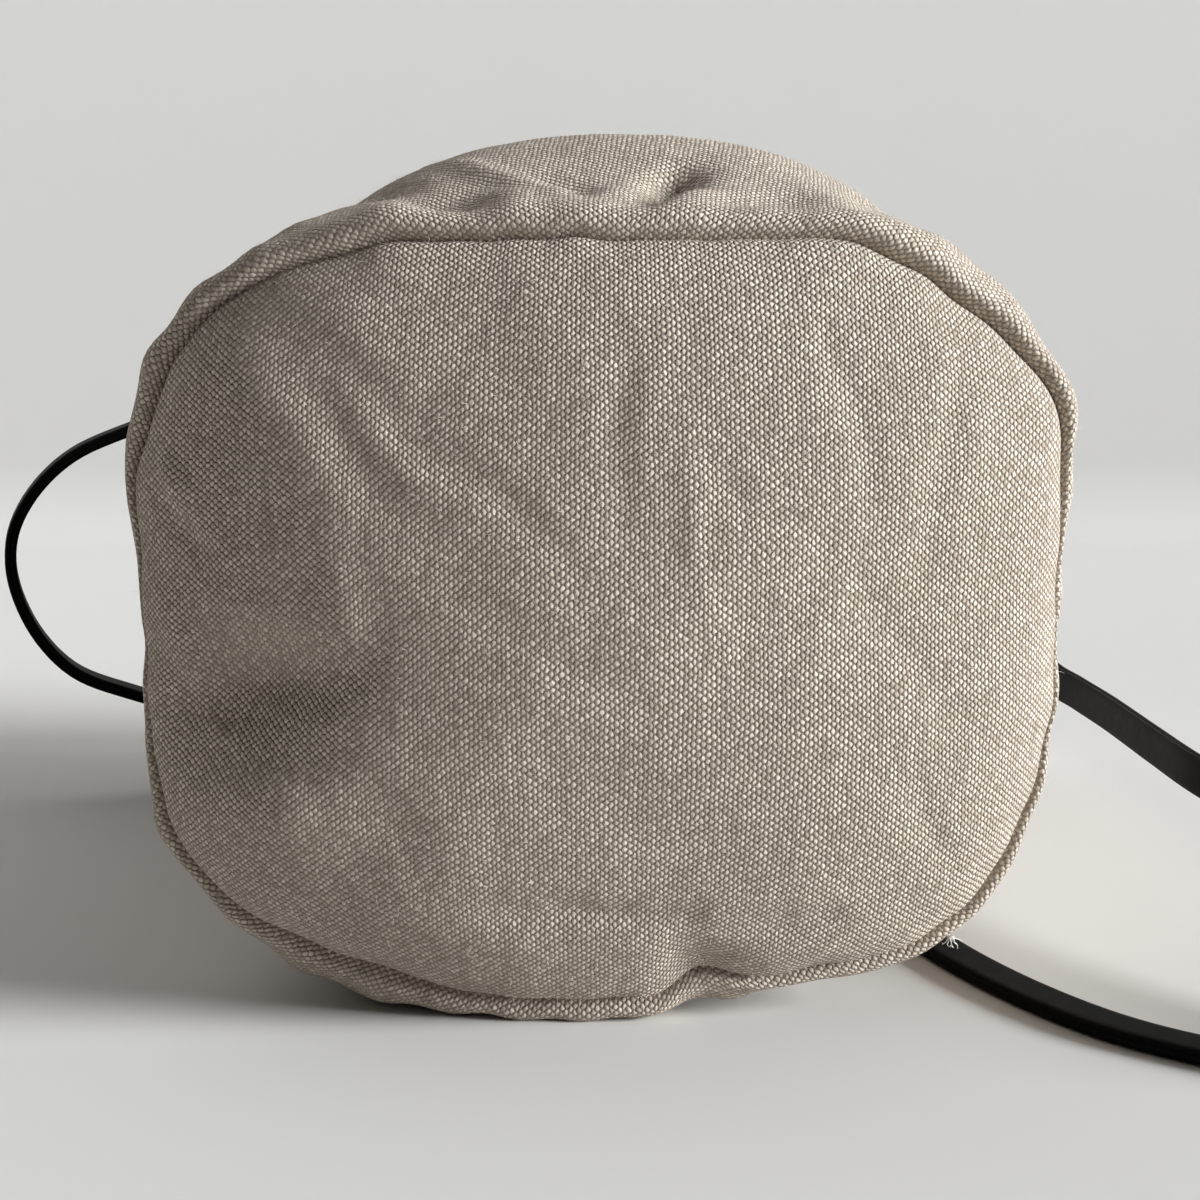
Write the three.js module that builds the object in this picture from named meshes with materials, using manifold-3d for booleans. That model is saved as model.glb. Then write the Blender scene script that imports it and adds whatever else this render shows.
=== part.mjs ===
// Japanese knot bag: a lined linen bag with a rounded-square base, lying on its side with its base
// towards -Y and its mouth towards +Y. A short and a long leather loop turn on rivets at the mouth,
// and the long loop passes through the short one to close the bag. Millimetres, +Z up, floor at z = 0.
import * as THREE from "three";
import { mergeVertices } from "three/addons/utils/BufferGeometryUtils.js";
import Module from "manifold-3d";

const wasm = await Module();
wasm.setup();
const { clamp, lerp, smoothstep, degToRad } = THREE.MathUtils;

// Base: a rounded square that swells outwards between its seams
const BASE_WIDTH = 186;
const BASE_HEIGHT = 154;
const BASE_LIFT = 4;
const BASE_SQUARENESS = 3.1;
const BASE_CROWN = 16;
const CROWN_FLAT = 0.8;
const CROWN_SQUARENESS = 2.4;
const SEAM_SETBACK = 14;

// Wall: rolls out over the base seam, swells, then flattens to the mouth
const BAG_DEPTH = 225;
const ROLL_SWELL = 5;
const ROLL_DEPTH = 12;
const ROLL_FADE = 8;
const SWELL_DEPTH = 58;
const BULGE_DEPTH = 105;
const BODY_WIDTH = 184;
const BODY_HEIGHT = 178;
const BODY_SQUARENESS = 2.2;
const FLOOR_SQUARENESS = 3;
const BODY_LEAN = 3.5;
const FLOOR_SINK = 2;
const MOUTH_BAND = 30;
const MOUTH_WIDTH = 214;
const MOUTH_HEIGHT = 104;
const MOUTH_LIFT = 8;
const MOUTH_SQUARENESS = 4;

// Cloth layers
const OUTER_CLOTH = 1.2;
const LINING_CLOTH = 0.8;
const FACING_CLOTH = 1;
const FACING_DEPTH = 35;
const CLEARANCE = 0.3;

// Leather straps: two bonded layers
const STRAP_WIDTH = 9;
const STRAP_LEATHER = 1.35;
const STRAP_EDGE = 0.35;
const STRAP_TAIL = 7;
const STRAP_STEP = 12;
const STRAP_END_ANGLES = [20, 45, 70, 90];

// How each strap end leaves its rivet: heading in degrees from +X, then a level stretch
const SHORT_HEADING = 193;
const SHORT_LEVEL = 16;
const LONG_UPPER_HEADING = 37;
const LONG_UPPER_LEVEL = 32;
const LONG_LOWER_HEADING = -90;
const LONG_LOWER_LEVEL = 14;

// Rivets
const RIVET_SPREAD = 110;
const RIVET_SETBACK = 18;
const POST_DIAMETER = 3.5;
const HEAD_DIAMETER = 7.5;
const HEAD_THICKNESS = 1;
const CAP_DIAMETER = 8.5;
const CAP_HEIGHT = 2;
const CAP_SHOULDER = 1;
const CAP_ROUNDING = 0.75;
const SOCKET_DEPTH = 1.1;

// Grid counts of the cloth skins and round pieces
const WALL_COLUMNS = 26;
const LINING_ROWS = 13;
const LINING_CROWDING = 1.5;
const FACING_ROWS = 2;
const BASE_COLUMNS = 40;
const BASE_ROWS = 7;
const ROUND_SIDES = 16;

const SEAM_Y = BASE_CROWN - (BASE_CROWN + BAG_DEPTH) / 2;
const RIVET_Y = SEAM_Y + BAG_DEPTH - RIVET_SETBACK;
const MOUTH_CENTRE = MOUTH_LIFT + MOUTH_HEIGHT / 2;
const STRAP_THICKNESS = 2 * STRAP_LEATHER + CLEARANCE;
const LINING_INSET = OUTER_CLOTH + CLEARANCE;

// Materials
const cloth = (color) => new THREE.MeshStandardMaterial({ color, roughness: 0.95, metalness: 0 });
const linen = () => cloth(0xb5aa9c);
const lining = () => cloth(0xd8d0c2);
const leather = () => new THREE.MeshStandardMaterial({ color: 0x1d1b1a, roughness: 0.5, metalness: 0 });
const metal = () => new THREE.MeshStandardMaterial({ color: 0x3a3836, roughness: 0.35, metalness: 1 });

// A cross-section of the bag: half width, lowest point, highest point, squareness
function section(width, lowest, highest, squareness) {
  return new THREE.Vector4(width / 2, lowest, highest, squareness);
}
const BASE_SECTION = section(BASE_WIDTH, BASE_LIFT, BASE_LIFT + BASE_HEIGHT, BASE_SQUARENESS);
const BODY_SECTION = section(BODY_WIDTH, -FLOOR_SINK, BODY_HEIGHT, BODY_SQUARENESS);
const MOUTH_SECTION = section(MOUTH_WIDTH, MOUTH_LIFT, MOUTH_LIFT + MOUTH_HEIGHT, MOUTH_SQUARENESS);
const ROLL = new THREE.Vector4(ROLL_SWELL, -ROLL_SWELL, ROLL_SWELL, 0);

// How far an angle round the bag lies towards its left or right side, 0 to 1
function sideShare(angle) {
  return Math.cos(angle) ** 2;
}

// How far the wall has swelled from base to body, and flattened from body to mouth, 0 to 1
function swellAt(depth) {
  return smoothstep(depth, 0, SWELL_DEPTH);
}
function flattenAt(depth) {
  return smoothstep(depth, BULGE_DEPTH, BAG_DEPTH - MOUTH_BAND);
}

// The cross-section at a depth behind the base seam. The roll over the seam fades out at the sides
function sectionAt(depth, angle) {
  const start = 1 - clamp(depth / ROLL_DEPTH, 0, 1);
  const roll = Math.sqrt(1 - start ** 2) * (1 - sideShare(angle) ** ROLL_FADE);
  const rolled = BASE_SECTION.clone().addScaledVector(ROLL, roll);
  return rolled.lerp(BODY_SECTION, swellAt(depth)).lerp(MOUTH_SECTION, flattenAt(depth));
}

// The point of a cross-section's oval at an angle, moved in by an inset. The lower half, which lies on
// the floor, is the squarer one
function ovalPoint(shape, angle, inset) {
  const halfWidth = shape.x - inset;
  const halfHeight = (shape.z - shape.y) / 2 - inset;
  const squareness = Math.sin(angle) < 0 ? Math.max(shape.w, FLOOR_SQUARENESS) : shape.w;
  const across = Math.abs(Math.cos(angle) / halfWidth) ** squareness;
  const upwards = Math.abs(Math.sin(angle) / halfHeight) ** squareness;
  const radius = (across + upwards) ** (-1 / squareness);
  const centre = (shape.y + shape.z) / 2;
  return new THREE.Vector2(radius * Math.cos(angle), centre + radius * Math.sin(angle));
}

function wallPoint(angle, depth, inset) {
  const oval = ovalPoint(sectionAt(depth, angle), angle, inset);
  const setBack = SEAM_SETBACK * sideShare(angle) * (1 - smoothstep(depth, 0, BULGE_DEPTH));
  const lean = BODY_LEAN * swellAt(depth) * (1 - flattenAt(depth));
  return new THREE.Vector3(oval.x + lean, SEAM_Y + depth + setBack, Math.max(oval.y, inset));
}

function basePoint(angle, share, inset) {
  const turn = (share * Math.PI) / 2;
  const reach = Math.sin(turn) ** (2 / CROWN_SQUARENESS);
  const rise = 1 - Math.cos(turn) ** (2 / CROWN_SQUARENESS);
  const rim = ovalPoint(BASE_SECTION, angle, inset);
  const centre = (BASE_SECTION.y + BASE_SECTION.z) / 2;
  const crown = lerp(-BASE_CROWN - CROWN_FLAT, SEAM_SETBACK * sideShare(angle), rise);
  const y = SEAM_Y + Math.max(crown, -BASE_CROWN) + inset * (1 - rise);
  return new THREE.Vector3(rim.x * reach, y, centre + (rim.y - centre) * reach);
}

// A geometry from triangles, without those that have shrunk to a line
function triangleGeometry(triangles) {
  const whole = triangles.filter(([a, b, c]) => !a.equals(b) && !b.equals(c) && !c.equals(a));
  return new THREE.BufferGeometry().setFromPoints(whole.flat());
}

function quad(a, b, c, d) {
  return [[a, b, c], [a, c, d]];
}

// A closed solid between an outer and an inner skin, each a grid of points
function shell(pointAt, columns, rows, outerInset, innerInset, wraps) {
  const skin = (inset) => Array.from({ length: rows + 1 }, (_, row) => {
    const points = Array.from({ length: columns + 1 }, (_, column) => {
      return pointAt(column / columns, row / rows, inset);
    });
    return wraps ? [...points.slice(0, columns), points[0]] : points;
  });
  const outer = skin(outerInset);
  const inner = skin(innerInset);
  const triangles = [];
  for (let row = 0; row < rows; row++) {
    for (let column = 0; column < columns; column++) {
      const [low, high] = [outer[row], outer[row + 1]];
      const [innerLow, innerHigh] = [inner[row], inner[row + 1]];
      const next = column + 1;
      triangles.push(...quad(low[column], high[column], high[next], low[next]));
      triangles.push(...quad(innerLow[column], innerLow[next], innerHigh[next], innerHigh[column]));
    }
  }
  for (let column = 0; column < columns; column++) {
    const next = column + 1;
    triangles.push(...quad(outer[0][column], outer[0][next], inner[0][next], inner[0][column]));
    triangles.push(...quad(outer[rows][next], outer[rows][column], inner[rows][column], inner[rows][next]));
  }
  for (let row = 0; row < rows && !wraps; row++) {
    const next = row + 1;
    triangles.push(...quad(outer[next][0], outer[row][0], inner[row][0], inner[next][0]));
    const last = columns;
    triangles.push(...quad(outer[row][last], outer[next][last], inner[next][last], inner[row][last]));
  }
  return triangleGeometry(triangles);
}

// Depths of the wall's rows behind the base seam: the lining's crowd towards the seam
const FACING_FROM = BAG_DEPTH - FACING_DEPTH;
const LINING_DEPTHS = Array.from({ length: LINING_ROWS + 1 }, (_, row) => {
  return lerp(CLEARANCE, FACING_FROM - CLEARANCE, (row / LINING_ROWS) ** LINING_CROWDING);
});
const FACING_DEPTHS = Array.from({ length: FACING_ROWS + 1 }, (_, row) => {
  return lerp(FACING_FROM, BAG_DEPTH, row / FACING_ROWS);
});

// Half of the wall, above or below the side seams, on its rows of depths
function wallPanel(upper, depths, outerInset, thickness) {
  const seamAngle = CLEARANCE / MOUTH_WIDTH;
  const startAngle = upper ? 0 : Math.PI;
  const rows = depths.length - 1;
  const pointAt = (across, along, inset) => {
    const angle = startAngle + lerp(seamAngle, Math.PI - seamAngle, across);
    return wallPoint(angle, depths[Math.round(along * rows)], inset);
  };
  return shell(pointAt, WALL_COLUMNS, rows, outerInset, outerInset + thickness, false);
}

function basePanel(outerInset, thickness) {
  const pointAt = (round, share, inset) => basePoint(2 * Math.PI * round, share, inset);
  return shell(pointAt, BASE_COLUMNS, BASE_ROWS, outerInset, outerInset + thickness, true);
}

// Solids for cuts
function solidOf(geometry) {
  const bare = geometry.clone();
  bare.deleteAttribute("normal");
  bare.deleteAttribute("uv");
  const merged = mergeVertices(bare);
  const vertProperties = new Float32Array(merged.getAttribute("position").array);
  const triVerts = new Uint32Array(merged.getIndex().array);
  return new wasm.Manifold(new wasm.Mesh({ numProp: 3, vertProperties, triVerts }));
}

function cut(geometry, tools) {
  const solid = tools.reduce((left, tool) => left.subtract(solidOf(tool)), solidOf(geometry));
  const mesh = solid.getMesh();
  const result = new THREE.BufferGeometry();
  result.setAttribute("position", new THREE.BufferAttribute(mesh.vertProperties, mesh.numProp));
  result.setIndex(new THREE.BufferAttribute(mesh.triVerts, 1));
  return result;
}

// A round hole's cutter along Z, reaching above and below the whole bag
function rivetHole(x) {
  const radius = POST_DIAMETER / 2 + CLEARANCE;
  const cutter = new THREE.CylinderGeometry(radius, radius, 2 * BODY_HEIGHT, ROUND_SIDES);
  cutter.rotateX(Math.PI / 2);
  cutter.translate(x, RIVET_Y, MOUTH_CENTRE);
  return cutter;
}
const HOLES = [rivetHole(-RIVET_SPREAD / 2), rivetHole(RIVET_SPREAD / 2)];

// Height of the mouth's outside above its centre, at a distance from the middle
function mouthRise(x) {
  const share = (2 * x) / MOUTH_WIDTH;
  return (MOUTH_HEIGHT / 2) * (1 - share ** MOUTH_SQUARENESS) ** (1 / MOUTH_SQUARENESS);
}
const STRAP_SEAT = mouthRise(RIVET_SPREAD / 2 - 2 * STRAP_TAIL) + CLEARANCE;
const STRAP_RISE = STRAP_SEAT + STRAP_THICKNESS / 2;
const HEAD_SEAT = mouthRise((RIVET_SPREAD + HEAD_DIAMETER) / 2) - LINING_INSET - FACING_CLOTH - CLEARANCE;
const CAP_SEAT = STRAP_SEAT + STRAP_THICKNESS + CLEARANCE;

// A rivet's half profile, in distance from its axis and height above the mouth's centre
function turned(profile) {
  const points = profile.map(([radius, height]) => new THREE.Vector2(radius, height));
  const geometry = new THREE.LatheGeometry(points, ROUND_SIDES);
  geometry.rotateX(Math.PI / 2);
  return geometry;
}

function rivetPost() {
  const head = HEAD_DIAMETER / 2;
  const post = POST_DIAMETER / 2;
  const foot = HEAD_SEAT - HEAD_THICKNESS;
  const top = CAP_SEAT + SOCKET_DEPTH - CLEARANCE;
  return turned([[0, foot], [head, foot], [head, HEAD_SEAT], [post, HEAD_SEAT], [post, top], [0, top]]);
}

function rivetCap() {
  const socket = POST_DIAMETER / 2 + CLEARANCE;
  const rim = CAP_DIAMETER / 2;
  const shoulder = CAP_SEAT + CAP_SHOULDER;
  const crown = CAP_SEAT + CAP_HEIGHT;
  const round = [CAP_ROUNDING * rim, lerp(shoulder, crown, CAP_ROUNDING)];
  const roof = CAP_SEAT + SOCKET_DEPTH;
  const bore = [[0, roof], [socket, roof], [socket, CAP_SEAT]];
  return turned([...bore, [rim, CAP_SEAT], [rim, shoulder], round, [0, crown]]);
}

// Distances along a strap where a section stands: its round ends, then even steps
function strapStations(length) {
  const half = STRAP_WIDTH / 2;
  const end = STRAP_END_ANGLES.map((degrees) => half * (1 - Math.cos(degToRad(degrees))));
  const steps = Math.round((length - STRAP_WIDTH) / STRAP_STEP);
  const middle = Array.from({ length: steps - 1 }, (_, step) => {
    return lerp(half, length - half, (step + 1) / steps);
  });
  return [...end, ...middle, ...end.map((distance) => length - distance).reverse()];
}

// One leather layer between two offsets from the strap's middle, along a route that carries the
// direction its outer face looks in
function strapLayer(route, low, high) {
  const path = new THREE.CatmullRomCurve3(route.map(({ point }) => point), false, "centripetal");
  const outlook = new THREE.CatmullRomCurve3(route.map(({ facing }) => facing), false, "centripetal");
  const length = path.getLength();
  const rings = strapStations(length).map((distance) => {
    const share = path.getUtoTmapping(distance / length);
    const along = path.getTangent(share);
    const outwards = outlook.getPoint(share).projectOnPlane(along).normalize();
    const across = new THREE.Vector3().crossVectors(along, outwards);
    const half = STRAP_WIDTH / 2;
    const toEnd = Math.min(distance, length - distance, half);
    const halfWidth = Math.sqrt(half ** 2 - (half - toEnd) ** 2);
    const inner = halfWidth - STRAP_EDGE;
    const corners = [
      [inner, low], [halfWidth, low + STRAP_EDGE], [halfWidth, high - STRAP_EDGE], [inner, high],
      [-inner, high], [-halfWidth, high - STRAP_EDGE], [-halfWidth, low + STRAP_EDGE], [-inner, low],
    ];
    return corners.map(([sideways, offset]) => {
      return path.getPoint(share).addScaledVector(across, sideways).addScaledVector(outwards, offset);
    });
  });
  return tube(rings);
}

// A closed tube through rings of points, with flat ends. Its two faces are split along the same
// diagonals, so that bonded layers stay apart where the strap twists
function tube(rings) {
  const triangles = [];
  const sides = rings[0].length;
  for (let ring = 0; ring < rings.length - 1; ring++) {
    for (let side = 0; side < sides; side++) {
      const next = (side + 1) % sides;
      const [here, there] = [rings[ring], rings[ring + 1]];
      const corners = [here[next], here[side], there[side], there[next]];
      if (side >= sides / 2) corners.push(corners.shift());
      triangles.push(...quad(...corners));
    }
  }
  const [first, last] = [rings[0], rings[rings.length - 1]];
  for (let side = 1; side < sides - 1; side++) {
    triangles.push([first[0], first[side], first[side + 1]]);
    triangles.push([last[0], last[side + 1], last[side]]);
  }
  return triangleGeometry(triangles);
}

// Strap routes
const UP = new THREE.Vector3(0, 0, 1);
const DOWN = new THREE.Vector3(0, 0, -1);

function heading(degrees) {
  return new THREE.Vector3(1, 0, 0).applyAxisAngle(UP, degToRad(degrees));
}

// A strap end on a rivet: its tail, the rivet and the level stretch as it leaves the rivet
function strapEnd(x, upper, leaving, level) {
  const facing = upper ? UP : DOWN;
  const rivet = new THREE.Vector3(x, RIVET_Y, MOUTH_CENTRE).addScaledVector(facing, STRAP_RISE);
  const distances = [-STRAP_TAIL, 0, level / 2, level];
  return distances.map((distance) => ({ point: rivet.clone().addScaledVector(leaving, distance), facing }));
}

// Short loop: reach out from the rivets, height above the floor, and its outer face's lean from up
const SHORT_LOOP = [
  [38, 111, 13], [57, 106, 16], [75, 100.5, 19], [90, 94, 32], [100, 85, 51], [106, 74.5, 71],
  [107.3, 65, 91], [105.5, 55.4, 108], [100, 44, 125], [91, 34.5, 146], [75, 27.6, 161],
  [58, 22, 157], [38, 11.4, 160],
];
function shortRoute() {
  const x = -RIVET_SPREAD / 2;
  const leaving = heading(SHORT_HEADING);
  const middle = SHORT_LOOP.map(([reach, height, lean]) => {
    const point = new THREE.Vector3(x, RIVET_Y, height).addScaledVector(leaving, reach);
    const facing = leaving.clone().multiplyScalar(Math.sin(degToRad(lean)));
    return { point, facing: facing.addScaledVector(UP, Math.cos(degToRad(lean))) };
  });
  const upperEnd = strapEnd(x, true, leaving, SHORT_LEVEL);
  const lowerEnd = strapEnd(x, false, leaving, SHORT_LEVEL);
  return [...upperEnd, ...middle, ...lowerEnd.reverse()];
}

// Long loop: sideways place, depth behind the base seam and height, then its outer face's direction
const LONG_LOOP = [
  [94, 236, 106, 0.4, 0.25, 0.87], [108, 246, 90, 0.8, 0.3, 0.5], [117, 249, 69, 0.95, 0.25, 0.2],
  [122, 244, 48, 1, 0.15, 0.05], [125, 232, 34, 1, 0, 0], [128.5, 214, 28, 1, 0, 0],
  [132, 190, 27.6, 1, 0, 0], [134.5, 160, 28.6, 1, 0, 0], [136.8, 115, 30.2, 1, 0, 0],
  [139, 80, 31.4, 1, 0.1, 0], [145, 56, 30.5, 1, 0.2, 0], [153, 32, 27.5, 0.95, 0.25, -0.05],
  [160, 8, 22, 0.95, 0.2, -0.2], [164, -14, 15, 0.85, -0.1, -0.5], [159, -32, 9, 0.5, -0.4, -0.75],
  [146, -39, 4.4, 0.1, -0.3, -0.94], [130, -32.5, 2.3, 0, 0, -1], [116, -22.7, 1.9, 0, 0, -1],
  [102.3, -10.1, 1.9, 0, 0, -1], [87.7, 12, 1.9, 0, 0, -1], [74.3, 42.6, 1.9, 0, 0, -1],
  [66, 76, 1.9, 0, 0, -1], [60, 112, 1.9, 0, 0, -1], [56.5, 148, 2, 0, 0, -1], [55, 173, 3.6, 0, 0, -1],
];
function longRoute() {
  const x = RIVET_SPREAD / 2;
  const middle = LONG_LOOP.map(([pointX, depth, height, ...facing]) => ({
    point: new THREE.Vector3(pointX, SEAM_Y + depth, height),
    facing: new THREE.Vector3(...facing),
  }));
  const upperEnd = strapEnd(x, true, heading(LONG_UPPER_HEADING), LONG_UPPER_LEVEL);
  const lowerEnd = strapEnd(x, false, heading(LONG_LOWER_HEADING), LONG_LOWER_LEVEL);
  return [...upperEnd, ...middle, ...lowerEnd.reverse()];
}

// Assembly
const bag = new THREE.Group();

function add(parent, name, geometry, material) {
  const mesh = new THREE.Mesh(geometry, material);
  mesh.name = name;
  parent.add(mesh);
}

function addWall(side, upper) {
  const outer = wallPanel(upper, [...LINING_DEPTHS, ...FACING_DEPTHS], 0, OUTER_CLOTH);
  const facing = wallPanel(upper, FACING_DEPTHS, LINING_INSET, FACING_CLOTH);
  add(bag, `${side}_panel`, cut(outer, HOLES), linen());
  add(bag, `${side}_lining`, wallPanel(upper, LINING_DEPTHS, LINING_INSET, LINING_CLOTH), lining());
  add(bag, `${side}_facing`, cut(facing, HOLES), linen());
}

function addHandle(name, route, x) {
  const inner = STRAP_THICKNESS / 2 - STRAP_LEATHER;
  const handle = new THREE.Group();
  const outerLayer = strapLayer(route, inner, inner + STRAP_LEATHER);
  const innerLayer = strapLayer(route, -inner - STRAP_LEATHER, -inner);
  add(handle, `${name}_strap_face`, cut(outerLayer, [rivetHole(x)]), leather());
  add(handle, `${name}_strap_backing`, cut(innerLayer, [rivetHole(x)]), leather());
  bag.add(handle);
}

function addRivet(name, x, upper) {
  const rivet = new THREE.Group();
  rivet.position.set(x, RIVET_Y, MOUTH_CENTRE);
  rivet.rotation.x = upper ? 0 : Math.PI;
  add(rivet, `${name}_rivet_post`, rivetPost(), metal());
  add(rivet, `${name}_rivet_cap`, rivetCap(), metal());
  bag.add(rivet);
}

add(bag, "base_panel", basePanel(0, OUTER_CLOTH), linen());
add(bag, "base_lining", basePanel(LINING_INSET, LINING_CLOTH), lining());
addWall("front", true);
addWall("back", false);
addHandle("short", shortRoute(), -RIVET_SPREAD / 2);
addHandle("long", longRoute(), RIVET_SPREAD / 2);
for (const [handle, x] of [["short", -RIVET_SPREAD / 2], ["long", RIVET_SPREAD / 2]]) {
  addRivet(`${handle}_upper`, x, true);
  addRivet(`${handle}_lower`, x, false);
}

export default bag;
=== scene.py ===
"""Looks of a Japanese knot bag: a lined linen bag lying on its side with its base forward, and a short
and a long loop of black leather riveted at its mouth. Metres, +Z up, the floor at z = 0."""
import math
import random

import bmesh
import bpy
from bpy.props import FloatProperty, FloatVectorProperty, PointerProperty
from mathutils import Matrix, Vector, noise
from mathutils.geometry import interpolate_bezier


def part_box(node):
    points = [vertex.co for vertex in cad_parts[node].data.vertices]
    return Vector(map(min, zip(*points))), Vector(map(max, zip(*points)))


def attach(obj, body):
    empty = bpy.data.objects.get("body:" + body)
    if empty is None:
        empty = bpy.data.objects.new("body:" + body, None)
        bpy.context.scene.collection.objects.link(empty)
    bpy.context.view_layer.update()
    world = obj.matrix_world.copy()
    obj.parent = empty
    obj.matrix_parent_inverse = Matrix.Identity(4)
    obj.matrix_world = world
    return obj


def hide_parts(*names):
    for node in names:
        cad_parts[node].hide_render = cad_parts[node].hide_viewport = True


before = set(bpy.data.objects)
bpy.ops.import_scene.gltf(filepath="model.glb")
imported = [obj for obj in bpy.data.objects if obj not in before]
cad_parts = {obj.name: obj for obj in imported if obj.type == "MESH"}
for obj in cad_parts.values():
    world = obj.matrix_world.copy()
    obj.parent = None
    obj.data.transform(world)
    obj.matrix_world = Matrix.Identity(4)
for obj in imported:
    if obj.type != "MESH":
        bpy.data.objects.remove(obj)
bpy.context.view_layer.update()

bl_info = {
    "name": "Knot bag",
    "version": (1, 0, 0),
    "blender": (4, 5, 0),
    "location": "3D View > Sidebar > Knot Bag",
    "description": "Builds the cloth, straps, rivets and stage of a linen knot bag on its packed frame",
    "category": "Object",
}

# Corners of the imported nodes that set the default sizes
BASE_LOW, BASE_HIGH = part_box("base_panel")
FRONT_LOW, FRONT_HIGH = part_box("front_panel")
CAP_LOW, CAP_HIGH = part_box("long_upper_rivet_cap")
POST_LOW, POST_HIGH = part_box("long_upper_rivet_post")

# Base seam and crown
LAYER_GAP = 0.0003
SEAM_Y = FRONT_LOW.y - LAYER_GAP
SEAM_SETBACK = 0.014
CROWN_FULLNESS = 0.002
CROWN_SQUARENESS = 2.0
WAVE_FADE = 6
BASE_SQUARENESS = 3.1
RIM_CURL = 0.0010
RIM_CURL_FROM = 0.98
SEAM_LIP = 0.0040
SEAM_GAP = 0.0010

# Wall: the roll over the seam allowance, the swell and the flattened mouth
ROLL_SWELL = 0.005
ROLL_DEPTH = 0.012
ROLL_FADE = 8
RIDGE_HEIGHT = 0.0010
RIDGE_DEPTH = 0.0045
RIDGE_WIDTH = 0.0028
ROLL_FORWARD = 0.0056
ROLL_FRONT = 0.0021
PUCKER_HEIGHT = 0.0030
PUCKER_DEPTH = 0.011
PUCKER_WIDTH = 0.008
# Wavelength of the puckers round the bag and back along it
PUCKER_LENGTH = (0.011, 0.020)
SWELL_DEPTH = 0.058
BULGE_DEPTH = 0.105
FLOOR_SINK = 0.002
BODY_SQUARENESS = 2.2
FLOOR_SQUARENESS = 3
BODY_LEAN = 0.0035
MOUTH_BAND = 0.030
MOUTH_LIFT = 0.008
MOUTH_SQUARENESS = 4
RIM_LIP = 0.0012
SIDE_GROOVE = 0.0012
SIDE_GROOVE_WIDTH = 0.0011
SIDE_LAP = 0.0004

# Cloth layers, measured inwards from the outside, and the map of where each point lay on the flat cloth
FLAT_MAP = "flat_cloth"
OUTER_CLOTH = 0.0009
LINING_INSET = 0.0017
LINING_CLOTH = 0.0006
LINING_REACH = 0.95
FACING_DEPTH = 0.035

# Seam waves: direction and half spread in degrees, outward shift, and how deep the wall follows
SEAM_WAVES = (
    (25, 10, 0.0032, 0.040), (58, 8, 0.0026, 0.040), (120, 6, 0.0013, 0.040), (143, 16, 0.0022, 0.040),
    (163, 6, 0.0018, 0.040), (232, 14, -0.0046, 0.008), (286, 5, -0.0055, 0.006),
    (298, 13, -0.0040, 0.060), (330, 14, -0.0020, 0.030),
)
# Small ripples of the seam: wavelength round the bag, height, and how deep the wall follows them
SEAM_RIPPLE = (0.011, 0.0011, 0.025)
RIPPLE_RADIUS = 0.09
# Stretches where the roll over the seam is thin: direction and half spread in degrees, and share lost
THIN_ROLLS = ((141, 14, 0.30), (182, 14, 0.50), (211, 22, 0.42), (318, 24, 0.40), (358, 20, 0.55))

# Folds of the base: from x, z to x, z, half width and outward height
BASE_FOLDS = (
    (-0.080, 0.066, -0.058, 0.076, 0.0125, -0.0056),
    (-0.086, 0.066, -0.064, 0.064, 0.0036, -0.0011),
    (-0.083, 0.071, -0.050, 0.073, 0.0045, -0.0022),
    (-0.074, 0.083, -0.053, 0.083, 0.0065, 0.0018),
    (-0.082, 0.056, -0.052, 0.058, 0.0045, -0.0010),
    (-0.070, 0.046, -0.054, 0.048, 0.0080, 0.0014),
    (-0.053, 0.098, -0.050, 0.070, 0.0050, 0.0010),
    (-0.087, 0.112, -0.081, 0.100, 0.0026, 0.0015),
    (-0.085, 0.104, -0.079, 0.093, 0.0030, -0.0014),
    (-0.086, 0.085, -0.081, 0.074, 0.0030, 0.0013),
    (-0.072, 0.134, -0.046, 0.100, 0.0060, 0.0007),
    (-0.061, 0.134, -0.034, 0.105, 0.0050, -0.0007),
    (-0.050, 0.124, -0.026, 0.106, 0.0040, 0.0004),
    (-0.040, 0.126, -0.004, 0.094, 0.0030, -0.0006),
    (-0.064, 0.142, -0.026, 0.122, 0.0040, -0.0006),
    (0.004, 0.134, 0.006, 0.100, 0.0026, -0.0005),
    (0.018, 0.120, 0.023, 0.078, 0.0026, 0.0004),
    (0.020, 0.116, 0.044, 0.098, 0.0024, -0.0004),
    (0.044, 0.142, 0.053, 0.104, 0.0030, -0.0006),
    (0.071, 0.134, 0.063, 0.094, 0.0030, -0.0006),
    (0.050, 0.094, 0.070, 0.062, 0.0032, -0.0005),
    (-0.028, 0.092, 0.010, 0.066, 0.0035, -0.0004),
    (-0.022, 0.027, 0.017, 0.025, 0.0026, -0.0010),
    (-0.030, 0.020, 0.010, 0.018, 0.0040, 0.0006),
    (-0.044, 0.048, -0.034, 0.034, 0.0050, -0.0006),
    (0.016, 0.006, 0.015, 0.018, 0.0030, -0.0004),
    (0.032, 0.012, 0.050, 0.017, 0.0060, 0.0010),
    (0.026, 0.022, 0.046, 0.024, 0.0026, -0.0007),
    (0.062, 0.050, 0.069, 0.034, 0.0030, -0.0006),
)

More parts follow.
